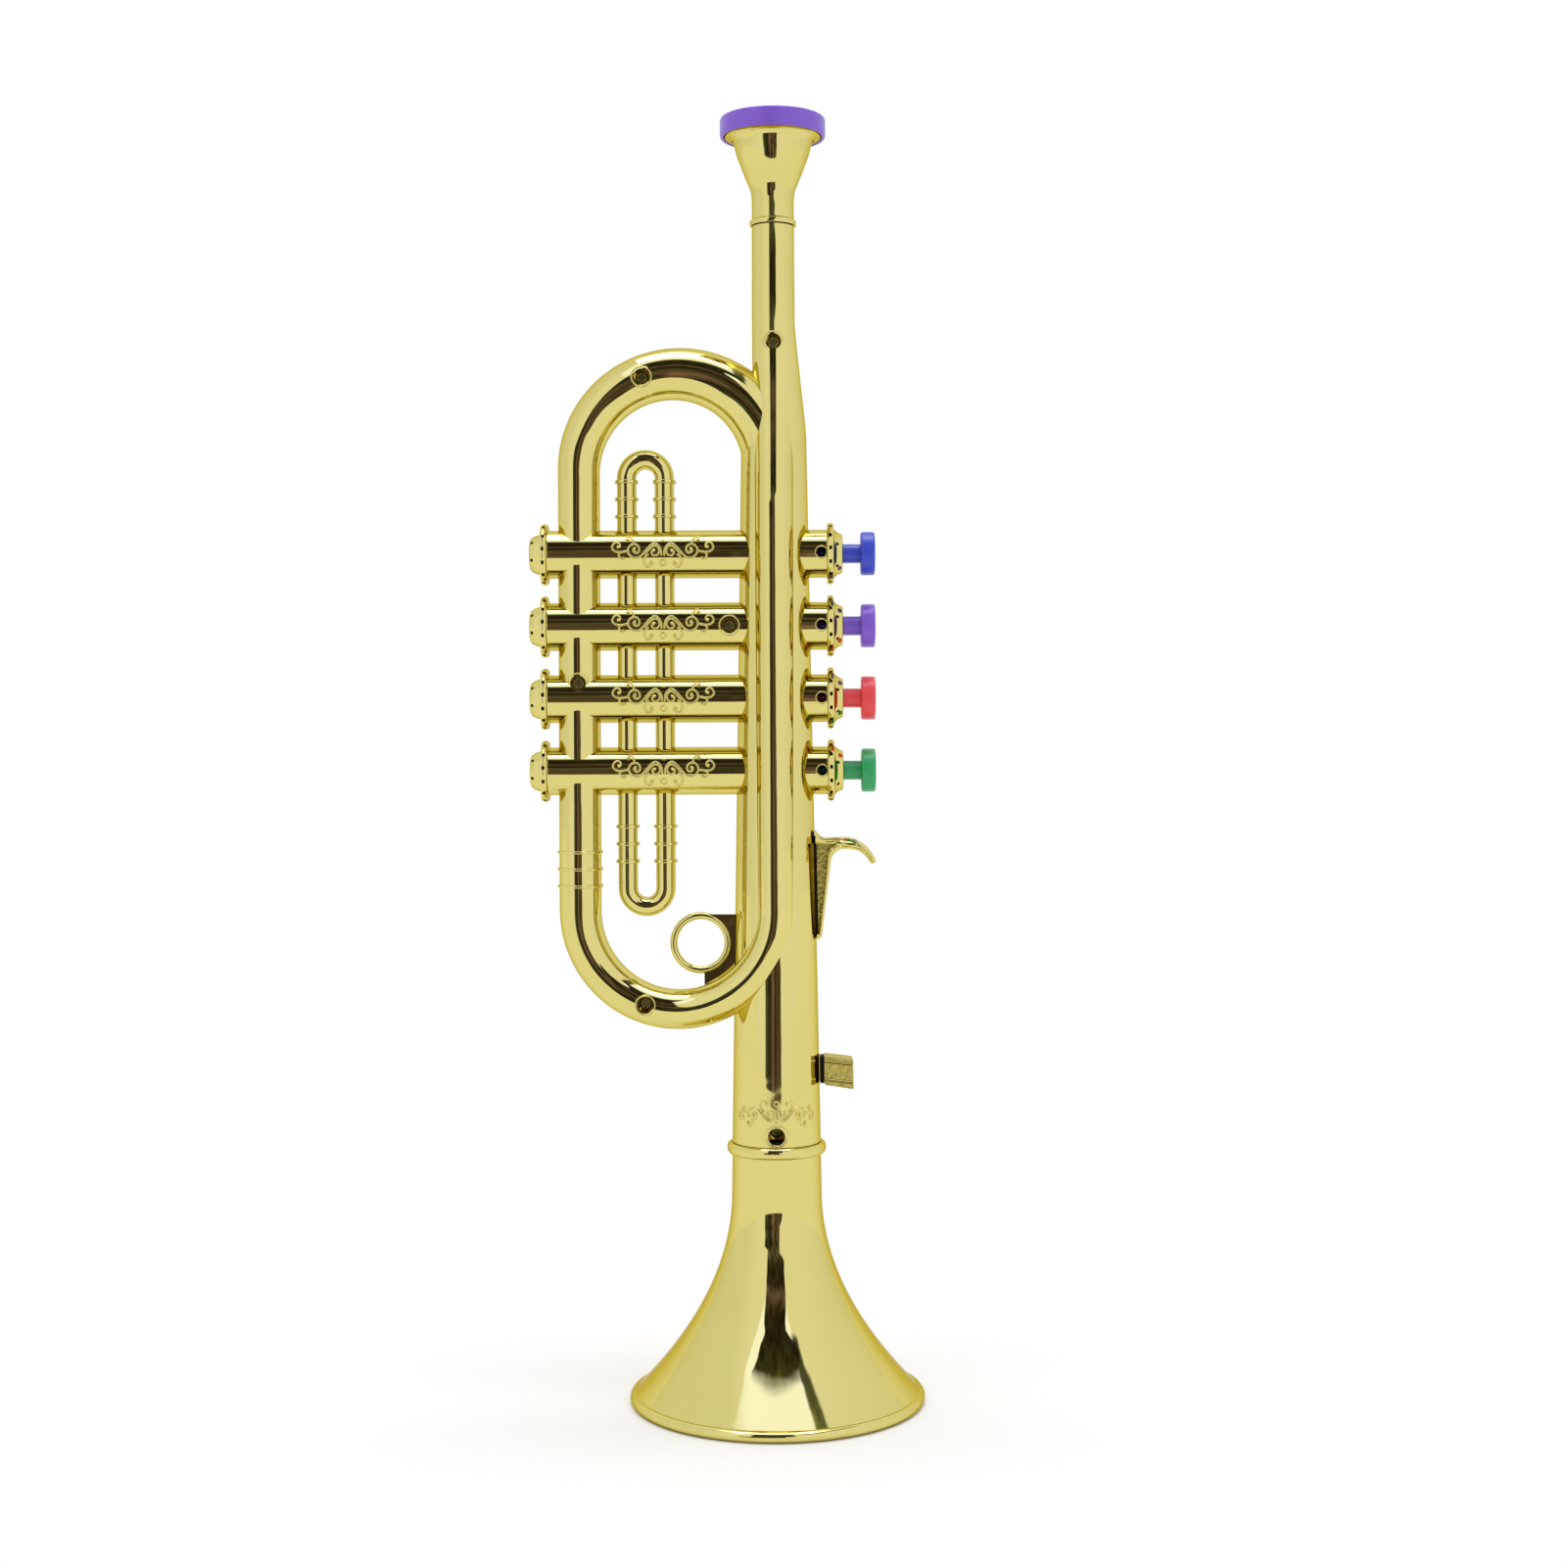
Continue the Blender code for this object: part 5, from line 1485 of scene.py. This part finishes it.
@dataclass
class FingerHook:
    """The hook for the little finger, with a grained pocket in each side of its wedge."""

    top: float = 164.9
    height: float = 32.0
    reach: float = 28.9
    width: float = 7.6
    pocket: float = 2.1
    start: float = 11.5
    neck: float = 3.3
    lean: float = 0.8
    outline: tuple[Point2, ...] = (
        (0.0, 1.0), (0.05, 0.962), (0.10, 0.933), (0.16, 0.916), (0.25, 0.916), (0.50, 0.922),
        (0.63, 0.909), (0.75, 0.88), (0.86, 0.836), (0.95, 0.77), (1.0, 0.71), (0.98, 0.692),
        (0.92, 0.69), (0.83, 0.752), (0.76, 0.786), (0.68, 0.808), (0.50, 0.82), (0.41, 0.812),
        (0.34, 0.787), (0.29, 0.75), (0.262, 0.70), (0.25, 0.64), (0.213, 0.475), (0.152, 0.204),
        (0.12, 0.06), (0.085, 0.015), (0.0, 0.0),
    )
    hollow: tuple[Point2, ...] = (
        (-0.03, 0.87), (0.36, 0.86), (0.26, 0.83), (0.22, 0.77), (0.20, 0.64), (0.165, 0.45),
        (0.11, 0.20), (0.075, 0.05), (-0.03, 0.05),
    )
    gap: float = 0.6
    texture_depth: float = 0.5
    face_share: float = 0.6
    neck_box: Point2 = (5.0, 29.0)
    neck_place: Point2 = (-1.3, -0.7)
    base: Point3 = (20.0, 20.0, 60.0)

    def placed(self, shares: Sequence[Point2], left: float) -> list[Point2]:
        """Return points from shares of the hook's reach and height."""
        foot = self.top - self.height
        return [(left + (self.reach - left) * x, foot + self.height * z) for x, z in shares]

    def pillow(self, hook: Object, face_depth: float) -> None:
        """Shade the flat sides as softly rounded over, by leaning their edges' normals out.

        Args:
            hook: The hook.
            face_depth: How far from the middle the flat sides lie.
        """
        mesh = hook.data
        outwards = [Vector() for _ in mesh.vertices]
        sides, normals = [], [corner.vector.copy() for corner in mesh.corner_normals]
        for face in mesh.polygons:
            if abs(face.normal.y) > 0.995:
                if abs(face.center.y) > (face_depth - 0.02) * MM:
                    sides.append(face)
                continue
            for corner in face.vertices:
                outwards[corner] += Vector((face.normal.x, 0, face.normal.z))
        for face in sides:
            for loop in face.loop_indices:
                way = outwards[mesh.loops[loop].vertex_index].normalized()
                normals[loop] = (way * self.lean + face.normal * self.face_share).normalized()
        mesh.normals_split_custom_set(normals)

    def cutters(self, tube: Moulding, half: float) -> list[Object]:
        """Make what is cut from the hook: its pockets and the gap at its base.

        Args:
            tube: The shells that it stands against.
            half: How far from the middle its flat sides lie.

        Returns:
            The cutters.
        """
        pocket = self.placed(self.hollow, tube.tube_radius(self.top))
        made = []
        for side in (-1, 1):
            depths = sorted((side * (half - self.pocket), side * (half + 2)))
            made.append(plate("pocket", pocket, *depths))
        middle = (self.start - self.base[0] / 2, 0, self.top - self.height / 2)
        made.append(blocks("base", [Matrix.Translation(middle)], self.base))
        return made + [tube.bell_tube(-self.gap, tube.foot)]

    def build(self, tube: Moulding, gold: Material, grained: Material, bare_shade: Material) -> None:
        """Make the hook and dress it.

        Args:
            tube: The shells that it stands against.
            gold: Its metal film.
            grained: The film in its textured pockets.
            bare_shade: The near-black plastic of the neck: painted shade in the gap at its base.
        """
        left, half = tube.tube_radius(self.top), self.width / 2
        curve = flowing(self.placed(self.outline, left), 4)
        curve += [(left - 4, self.top - self.height), (left - 4, self.top)]
        hook = plate("finger_hook_fine", curve, -half, half, 0.45)
        combine(hook, self.cutters(tube, half), Join.CUT)
        # A neck of near-black plastic fills the gap behind the hook: a dark piece put in as
        # painted shade.
        across, up = self.neck_place
        middle = (self.start + across, 0, self.top - self.height / 2 + up)
        size = (self.neck_box[0], self.neck, self.neck_box[1])
        neck = blocks("neck", [Matrix.Translation(middle)], size)
        combine(hook, [neck], Join.ADD, bare_shade=True)
        combine(hook, [tube.bell_tube(TOUCH, tube.foot)], Join.CUT)
        self.pillow(settle(hook), half)
        for face in hook.data.polygons:
            deep = abs(face.center.y) < (half - self.texture_depth) * MM
            if abs(face.normal.y) > 0.9 and deep and face.material_index == Skin.FILM:
                face.material_index = Skin.GRAINED
        dress(hook, [gold, bare_shade, grained], "body", "metallised_gold", "finger_hook")


@dataclass
class FingerRing:
    """The wire ring for a finger, on its thin web."""

    outer: float = 8.9
    bore: float = 6.8
    web: float = 1.6
    behind: float = 2.0
    overlap: float = 1.0
    web_drop: float = 0.7

    def build(self, tube: Moulding, gold: Material) -> None:
        """Make the ring and dress it.

        Args:
            tube: The shells that it stands against.
            gold: Its metal film.
        """
        low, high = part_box("finger_ring")
        across = (low.x - bell_axis_across()) / MM + self.outer
        height = high.z / MM - self.outer
        middle, wire = (self.outer + self.bore) / 2, (self.outer - self.bore) / 2
        bow = tube.span / 2
        clear = bow - tube.tube + self.behind
        inside, left = -tube.tube_radius(height) + self.overlap, across + self.overlap
        top = height + self.outer - self.web_drop
        outline = [(inside, top), (across, top), (left, height)]
        first, last = math.acos((left + bow) / clear), math.acos((inside + bow) / clear)
        outline += [(-bow + clear * x, tube.lower_bow + clear * z)
                    for x, z in arc(-first, -last, 16)]
        web = plate("finger_ring_fine", outline, -self.web / 2, self.web / 2)
        hole = rod("bore", (across, -9, height), (across, 9, height), middle)
        combine(web, [hole], Join.CUT)
        stations = [((across + middle * math.cos(a), 0.0, height + middle * math.sin(a)), wire)
                    for a in side_angles(96)]
        combine(web, [sweep("ring", stations, 32, closed=True)], Join.ADD)
        combine(web, [tube.bell_tube(TOUCH, tube.foot)], Join.CUT)
        dress(settle(web), [gold], "body", "metallised_gold", "finger_ring")


@dataclass
class LyreSocket:
    """The grooved stub, a little tilted, on a narrow neck against the bell tube."""

    top: float = 99.5
    height: float = 8.2
    tilt: float = 1.0
    width: float = 7.8
    reach: float = 22.1
    neck: float = 1.3
    draft: float = 0.26
    gap: float = 0.3
    groove: float = 0.5
    groove_shares: Point2 = (0.84, 0.2)

    def build(self, tube: Moulding, gold: Material, grained: Material, bare_shade: Material) -> None:
        """Make the socket and dress it.

        Args:
            tube: The shells that it stands against.
            gold: Its metal film.
            grained: The film on its textured sides.
            bare_shade: The near-black plastic of its neck: painted shade in the recess beside the
                tube.
        """
        foot = self.top - self.height
        surface = tube.tube_radius(foot)
        left = surface + self.neck
        outline = [
            (left, self.top), (self.reach, self.top - self.tilt),
            (self.reach + 0.1, foot - self.tilt * 1.3), (left, foot), (left, self.top),
        ]
        half = self.width / 2
        stub = plate("lyre_socket_fine", rounded(outline, 0.5)[:-1], -half, half)
        grooves = []
        for side in (-1, 1):
            for share in self.groove_shares:
                level = foot + self.height * share
                start = (left - 1, side * half, level)
                end = (self.reach + 1, side * half, level - self.tilt * 1.15)
                ends = [(start, self.groove), (end, self.groove)]
                grooves.append(sweep("groove", ends, 24))
        combine(stub, grooves, Join.CUT)
        # The neck is near-black plastic, set back from the sides: painted shade between the stub
        # and the tube.
        low, high = foot + 0.3, self.top - 0.2
        place = Matrix.Translation(((surface + left) / 2, 0, (low + high) / 2))
        neck = blocks("neck", [place], (left - surface + 2.4, self.width - 2.8, high - low))
        combine(stub, [neck], Join.ADD, bare_shade=True)
        combine(stub, [tube.bell_tube(-self.gap, tube.foot)], Join.CUT)
        settle(stub)
        normals = [corner.vector.copy() for corner in stub.data.corner_normals]
        for face in stub.data.polygons:
            if abs(face.center.y) > (half - 0.01) * MM and abs(face.normal.y) > 0.9:
                face.material_index = Skin.GRAINED
                for loop in face.loop_indices:
                    normals[loop] = (face.normal + Vector((self.draft, 0, 0))).normalized()
        stub.data.normals_split_custom_set(normals)
        dress(stub, [gold, bare_shade, grained], "body", "metallised_gold", "lyre_socket")


@dataclass
class Screw:
    """A pan head screw with a cross recess, in its seat."""

    number: int
    across: float
    height: float
    top: float = 4.1
    cross: Point3 = (1.9, 0.4, 1.2)
    outline: tuple[Point2, ...] = (
        (0.0, 4.1), (1.35, 4.1), (1.9, 3.6), (1.9, 2.9), (0.9, 2.9), (0.9, -1.3), (0.0, -2.1),
    )

    def build(self, steel: Material) -> None:
        """Make the screw and dress it.

        Args:
            steel: Its steel.
        """
        screw = turned(f"screw_{self.number}_fine", rounded(self.outline, 0.2, 3), sides=40)
        for angle in (0, math.pi / 2):
            place = Matrix.Translation((0, 0, self.top)) @ Matrix.Rotation(angle, 4, "Z")
            combine(screw, [blocks("cross", [place], self.cross)], Join.CUT)
        settle(screw)
        axis = bell_axis_across()
        screw.data.transform(Matrix.Translation((-axis, 0, 0)))
        screw.data.transform(Matrix.Rotation(math.pi / 2, 4, "X"))
        screw.data.transform(Matrix.Translation((axis + self.across * MM, 0, self.height * MM)))
        dress(screw, [steel], "body", "zinc_plated_steel", f"screw_{self.number}")


@dataclass
class Studio:
    """The floor, the light tent with its dark front opening, the lamp and the camera."""

    target: Point3 = (0.0167, 0.0, 0.19)
    far: float = 6.0
    tent_rows: range = range(-46, 79, 4)
    tent_columns: range = range(-132, 133, 6)
    floor_front: float = -0.68
    floor_reach: float = 3.0
    lamp_width: float = 2.2
    lamp_depth: float = 1.5
    lamp_height: float = 3.0
    lamp_across: float = -0.1
    lamp_level: float = 4.6
    plain_light: float = 0.72
    sensor: float = 36.0
    lens: float = 51.6
    shift: float = -0.0305
    stand: Point3 = (0.01665, -0.650, 0.1916)
    lean: float = 0.24
    along: tuple[tuple[float, Point3], ...] = (
        (0.0, (0.11, 0.11, 0.07)), (0.2, (0.05, 0.05, 0.04)), (0.32, (0.02, 0.016, 0.012)),
        (0.42, (0.13, 0.085, 0.085)), (0.52, (0.22, 0.14, 0.15)), (0.6, (0.05, 0.035, 0.03)),
        (0.74, (0.15, 0.1, 0.09)), (0.86, (0.06, 0.045, 0.035)), (1.0, (0.12, 0.08, 0.08)),
    )
    upward: tuple[tuple[float, Point3], ...] = (
        (0.06, (0.14, 0.085, 0.08)), (0.14, (0.03, 0.02, 0.014)), (0.33, (0.03, 0.028, 0.016)),
        (0.4, (0.12, 0.115, 0.09)), (0.46, (0.03, 0.026, 0.016)), (0.55, (0.035, 0.028, 0.024)),
        (0.61, (0.12, 0.08, 0.09)), (0.68, (0.04, 0.03, 0.02)), (0.79, (0.022, 0.02, 0.016)),
        (0.9, (0.04, 0.042, 0.02)), (0.97, (0.12, 0.13, 0.06)), (1.0, (0.3, 0.32, 0.16)),
    )

    def world(self) -> None:
        """Make a white surround that metal shows and that lights the rest plainly."""
        world = bpy.data.worlds.new("white_tent")
        bpy.context.scene.world = world
        world.use_nodes = True
        tree = world.node_tree
        made = add_steps(tree, [
            *self.seen_steps(),
            ("strength", RANGE, {"To Min": self.plain_light, "To Max": 1.0}, {"Value": "seen"}),
        ])
        background = tree.nodes["Background"]
        background.inputs["Color"].default_value = (1, 1, 1, 1)
        tree.links.new(made["strength"].outputs[0], background.inputs["Strength"])

    def seen_steps(self) -> list[Step]:
        """Tell the rays of the camera and of mirrors from those that light a surface.

        Returns:
            The nodes, of which the last, seen, is 1 for the first kind.
        """
        most = {"operation": "MAXIMUM"}
        return [
            ("ray", LIGHT_PATH, {}, {}),
            ("direct", MATH, most, {0: "ray:Is Camera Ray", 1: "ray:Is Glossy Ray"}),
            ("seen", MATH, most, {0: "direct", 1: "ray:Is Transmission Ray"}),
        ]

    def direction(self, azimuth: float, elevation: float) -> Vector:
        """Point to a place round the object.

        Args:
            azimuth: Its angle round from the side that faces the camera, in degrees.
            elevation: Its angle up from the horizon, in degrees.

        Returns:
            The way there, one long.
        """
        turn, rise = math.radians(azimuth), math.radians(elevation)
        return Vector((math.sin(turn) * math.cos(rise), -math.cos(turn) * math.cos(rise),
                       math.sin(rise)))

    def tent_front(self) -> None:
        """Hang the tent's front far off: only mirrors show it, with its dark opening."""
        bm = bmesh.new()
        rows = []
        for elevation in self.tent_rows:
            rows.append([bm.verts.new(self.direction(azimuth, elevation) * self.far)
                         for azimuth in self.tent_columns])
        for lower, upper in zip(rows, rows[1:]):
            for step in range(len(lower) - 1):
                bm.faces.new((lower[step], lower[step + 1], upper[step + 1], upper[step]))
        front = link_mesh("tent_front", bm)
        front.location = self.target
        front.data.materials.append(self.tent_cloth())
        front.visible_camera = False
        front.visible_diffuse = False
        front.visible_shadow = False

    def cloth_steps(self) -> list[Step]:
        """Draw the opening, the pole and the bright panel by direction, in the tent's light.

        Returns:
            The nodes, of which the last is the light.
        """
        turn, colours = math.radians, {"data_type": "RGBA"}
        elevation, azimuth, slope = ({"Value": name} for name in ("elevation", "azimuth", "slope"))
        add, take, times, most = (
            {"operation": name} for name in ("ADD", "SUBTRACT", "MULTIPLY", "MAXIMUM"))
        return [
            ("place", COORDINATES, {}, {}),
            ("way", VECTOR_MATH, {"operation": "NORMALIZE"}, {0: "place:Object"}),
            ("folds", NOISE, {"Scale": 5.0, "Detail": 3.0}, {"Vector": "way"}),
            ("specks", NOISE, {"Scale": 14.0, "Detail": 4.0}, {"Vector": "way"}),
            ("bent", VECTOR_MATH, {"operation": "MULTIPLY_ADD", 1: (0.07, 0.07, 0.07)},
             {0: "folds:Color", 2: "way"}),
            ("centred", VECTOR_MATH, {**add, 1: (-0.035, -0.035, -0.035)}, {0: "bent"}),
            ("parts", "ShaderNodeSeparateXYZ", {}, {0: "centred"}),
            ("forward", MATH, {**times, 1: -1.0}, {0: "parts:1"}),
            ("azimuth", MATH, {"operation": "ARCTAN2"}, {0: "parts:0", 1: "forward"}),
            ("elevation", MATH, {"operation": "ARCSINE"}, {0: "parts:2"}),
            ("slope", MATH, {"operation": "DIVIDE"}, {0: "parts:0", 1: "parts:2"}),
            # The opening's left edge draws in above the horizon and flares out high up.
            ("left_low", RANGE, eased(turn(9.5), turn(11.5), turn(-29), turn(-21)), elevation),
            ("left_high", RANGE, eased(turn(43.5), turn(57), 0.0, turn(-19)), elevation),
            ("left", MATH, add, {0: "left_low", 1: "left_high"}),
            ("right_low", RANGE, eased(turn(-5), turn(2), turn(13), turn(6)), elevation),
            ("right_middle", RANGE, eased(turn(14), turn(18), 0.0, turn(9)), elevation),
            ("right_high", RANGE, eased(turn(43.5), turn(50), 0.0, turn(20)), elevation),
            ("right_part", MATH, add, {0: "right_low", 1: "right_middle"}),
            ("right", MATH, add, {0: "right_part", 1: "right_high"}),
            ("from_left", MATH, take, {0: "azimuth", 1: "left"}),
            ("from_right", MATH, take, {0: "right", 1: "azimuth"}),
            ("nearer", MATH, {"operation": "MINIMUM"}, {0: "from_left", 1: "from_right"}),
            ("between", RANGE, eased(turn(-0.6), turn(0.6)), {"Value": "nearer"}),
            # Its top is a shallow arch with a rough edge.
            ("plain_parts", "ShaderNodeSeparateXYZ", {}, {0: "way"}),
            ("height", MATH, {"operation": "ARCSINE"}, {0: "plain_parts:2"}),
            ("aside", MATH, times, {0: "azimuth", 1: "azimuth"}),
            ("arched", MATH, {"operation": "MULTIPLY_ADD", 1: 0.25}, {0: "aside", 2: "height"}),
            ("rough_top", MATH, {"operation": "MULTIPLY_ADD", 1: 0.012},
             {0: "specks", 2: "arched"}),
            ("under_top", RANGE, eased(turn(58.5), turn(64.5), 1.0, 0.0), {"Value": "rough_top"}),
            ("opening", MATH, times, {0: "between", 1: "under_top"}),
            # A dark pole runs from the opening's right shoulder to overhead.
            ("pole_near", RANGE, eased(0.365, 0.4), slope),
            ("pole_far", RANGE, eased(0.5, 0.55, 1.0, 0.0), slope),
            ("pole_foot", RANGE, eased(turn(43), turn(47), 0.0, 0.95), elevation),
            ("pole_width", MATH, times, {0: "pole_near", 1: "pole_far"}),
            ("pole", MATH, times, {0: "pole_width", 1: "pole_foot"}),
            ("dark", MATH, most, {0: "opening", 1: "pole"}),
            # The bright panel lies between the pole and a straight edge on the left.
            ("panel_edge", RANGE, {"From Min": turn(50), "From Max": turn(63), "To Min": -0.6,
                                   "To Max": -0.45}, elevation),
            ("in_panel", MATH, take, {0: "slope", 1: "panel_edge"}),
            ("panel_left", RANGE, eased(-0.015, 0.015), {"Value": "in_panel"}),
            ("panel_right", RANGE, eased(0.39, 0.42, 1.0, 0.0), slope),
            ("panel_foot", RANGE, eased(turn(24), turn(40)), elevation),
            ("panel_width", MATH, times, {0: "panel_left", 1: "panel_right"}),
            ("panel", MATH, times, {0: "panel_width", 1: "panel_foot"}),
            ("cloth", MIX, {**colours, 6: (1.0, 1.0, 1.12, 1), 7: (1.3, 1.4, 2.3, 1)},
             {0: "panel"}),
            # The tent's side walls are a little dimmer, most of all on the left.
            ("left_wall", RANGE, eased(turn(-75), turn(-40), 1.0, 0.0), azimuth),
            ("right_wall", RANGE, eased(turn(40), turn(110), 0.0, 0.7), azimuth),
            ("walls", MATH, add, {0: "left_wall", 1: "right_wall"}),
            ("tent", MIX, {**colours, 7: (0.89, 0.9, 0.95, 1)}, {0: "walls", 6: "cloth:2"}),
            # Inside the opening the dim room shows in streaks.
            ("turned", RANGE, {"From Min": turn(-30), "From Max": turn(14)}, azimuth),
            ("raised", RANGE, {"From Min": turn(-20), "From Max": turn(65)}, elevation),
            ("along", "ShaderNodeValToRGB", {}, {0: "turned"}),
            ("upward", "ShaderNodeValToRGB", {}, {0: "raised"}),
            ("above", RANGE, eased(turn(3), turn(14)), elevation),
            ("room", MIX, colours, {0: "above", 6: "along", 7: "upward"}),
            ("level", RANGE, eased(0.3, 0.7, 0.45, 1.5), {"Value": "specks"}),
            ("shown", VECTOR_MATH, {"operation": "SCALE"}, {0: "room:2", "Scale": "level"}),
            ("seen", MIX, colours, {0: "dark", 6: "tent:2", 7: "shown"}),
            ("light", "ShaderNodeEmission", {"Strength": 1.0}, {"Color": "seen:2"}),
        ]

    def tent_cloth(self) -> Material:
        """Make the tent front's light: white cloth, brighter high up, round a dark opening.

        Returns:
            The material.
        """
        material, tree = node_material("tent_cloth")
        tree.nodes.remove(tree.nodes["Principled BSDF"])
        made = add_steps(tree, self.cloth_steps())
        for name, stops in (("along", self.along), ("upward", self.upward)):
            band = made[name].color_ramp
            # A new stop goes anywhere, since all are set below.
            while len(band.elements) < len(stops):
                band.elements.new(0.5)
            for element, (spot, colour) in zip(band.elements, stops):
                element.position = spot
                element.color = (*colour, 1)
        tree.links.new(made["light"].outputs[0], tree.nodes["Material Output"].inputs["Surface"])
        return material

    def roof(self) -> None:
        """Hang the soft lamp overhead that draws the white line along each barrel."""
        lamp = bpy.data.lights.new("roof_lamp", "AREA")
        lamp.shape = "RECTANGLE"
        lamp.size = self.lamp_width
        lamp.size_y = self.lamp_depth
        lamp.energy = self.lamp_level * math.pi * self.lamp_width * self.lamp_depth
        roof = link("roof_lamp", lamp)
        roof.location = Vector(self.target) + Vector((self.lamp_across, 0, self.lamp_height))
        roof.visible_camera = False

    def floor(self) -> None:
        """Lay the plain pale floor."""
        bm = bmesh.new()
        reach, front = self.floor_reach, self.floor_front
        corners = ((-reach, front), (reach, front), (reach, reach), (-reach, reach))
        bm.faces.new([bm.verts.new((across, depth, 0)) for across, depth in corners])
        floor = link_mesh("floor", bm)
        floor.data.materials.append(self.floor_paint())

    def floor_paint(self) -> Material:
        """Make the floor's matt paint, which fades to white a little way from the object.

        Returns:
            The material.
        """
        material, tree = node_material("pale_floor")
        shader = tree.nodes["Principled BSDF"]
        shader.inputs["Base Color"].default_value = linear("F4F4F4")
        shader.inputs["Roughness"].default_value = 1.0
        shader.inputs["Specular IOR Level"].default_value = 0.0
        made = add_steps(tree, [
            ("place", COORDINATES, {}, {}),
            ("away", VECTOR_MATH, {"operation": "LENGTH"}, {0: "place:Object"}),
            ("fade", RANGE, eased(0.04, 0.22), {"Value": "away:Value"}),
            *self.seen_steps(),
            ("shown", MATH, {"operation": "MULTIPLY"}, {0: "fade", 1: "seen"}),
            ("white", "ShaderNodeEmission", {"Color": (1, 1, 1, 1), "Strength": 1.0}, {}),
            ("paint", "ShaderNodeMixShader", {}, {0: "shown", 1: "shader", 2: "white"}),
        ], shader=shader)
        tree.links.new(made["paint"].outputs[0], tree.nodes["Material Output"].inputs["Surface"])
        return material

    def camera(self) -> None:
        """Set up the camera in front of the object."""
        data = bpy.data.cameras.new("camera")
        data.sensor_width = self.sensor
        data.lens = self.lens
        data.shift_y = self.shift
        camera = link("camera", data)
        camera.location = self.stand
        lean = Matrix.Rotation(math.radians(self.lean), 4, "Y")
        camera.rotation_euler = (lean @ Matrix.Rotation(math.pi / 2, 4, "X")).to_euler()
        bpy.context.scene.camera = camera

    def build(self) -> None:
        """Set the whole studio up."""
        self.world()
        self.tent_front()
        self.roof()
        self.floor()
        self.camera()
        bpy.context.scene.view_settings.view_transform = "Standard"


def dress_inner_nodes() -> None:
    """Give each node that stays its finish."""
    finishes = {
        "wind_box": WHITE, "reed_plate": WHITE, "wind_cover": WHITE, "wind_gasket": RUBBER,
        "pad": RUBBER, "reed": BRASS,
    }
    made: dict[str, Material] = {}
    for name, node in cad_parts.items():
        kind = name if name in finishes else name.rsplit("_", 1)[0]
        if kind not in finishes:
            continue
        finish = finishes[kind]
        if finish.name not in made:
            made[finish.name] = finish.material()
        node.data.materials.clear()
        node.data.materials.append(made[finish.name])
        LOG.info("%s keeps its shape, in %s", name, finish.name)


def main() -> None:
    """Build the trumpet and its studio, piece by piece."""
    logging.basicConfig(level=logging.INFO, format="%(message)s")
    gold, bare_shade, grained = GOLD.material(), SHADED_BARE_ABS.material(), GRAINED_GOLD.material()
    plastics = {colour: finish.material() for colour, finish in PLASTICS.items()}
    shells = Moulding()
    shells.build(gold, bare_shade)
    shells.build_relief(ScrollRelief(), RELIEF_GOLD.material())
    Bell().build(gold)
    Mouthpiece().build(gold, plastics["purple"])
    wire = ZINC.material()
    for number, (colour, height) in enumerate(zip(plastics, shells.valves), start=1):
        Button(colour, height, f"valve_{number}").build(plastics[colour])
        ReturnSpring(number, height).build(wire)
    FingerHook().build(shells, gold, grained, bare_shade)
    FingerRing().build(shells, gold)
    LyreSocket().build(shells, gold, grained, bare_shade)
    steel = SCREW_STEEL.material()
    for number, spot in enumerate(shells.screw_spots(), start=1):
        Screw(number, spot.across, spot.height).build(steel)
    dress_inner_nodes()
    Studio().build()


if __name__ == "__main__":
    main()
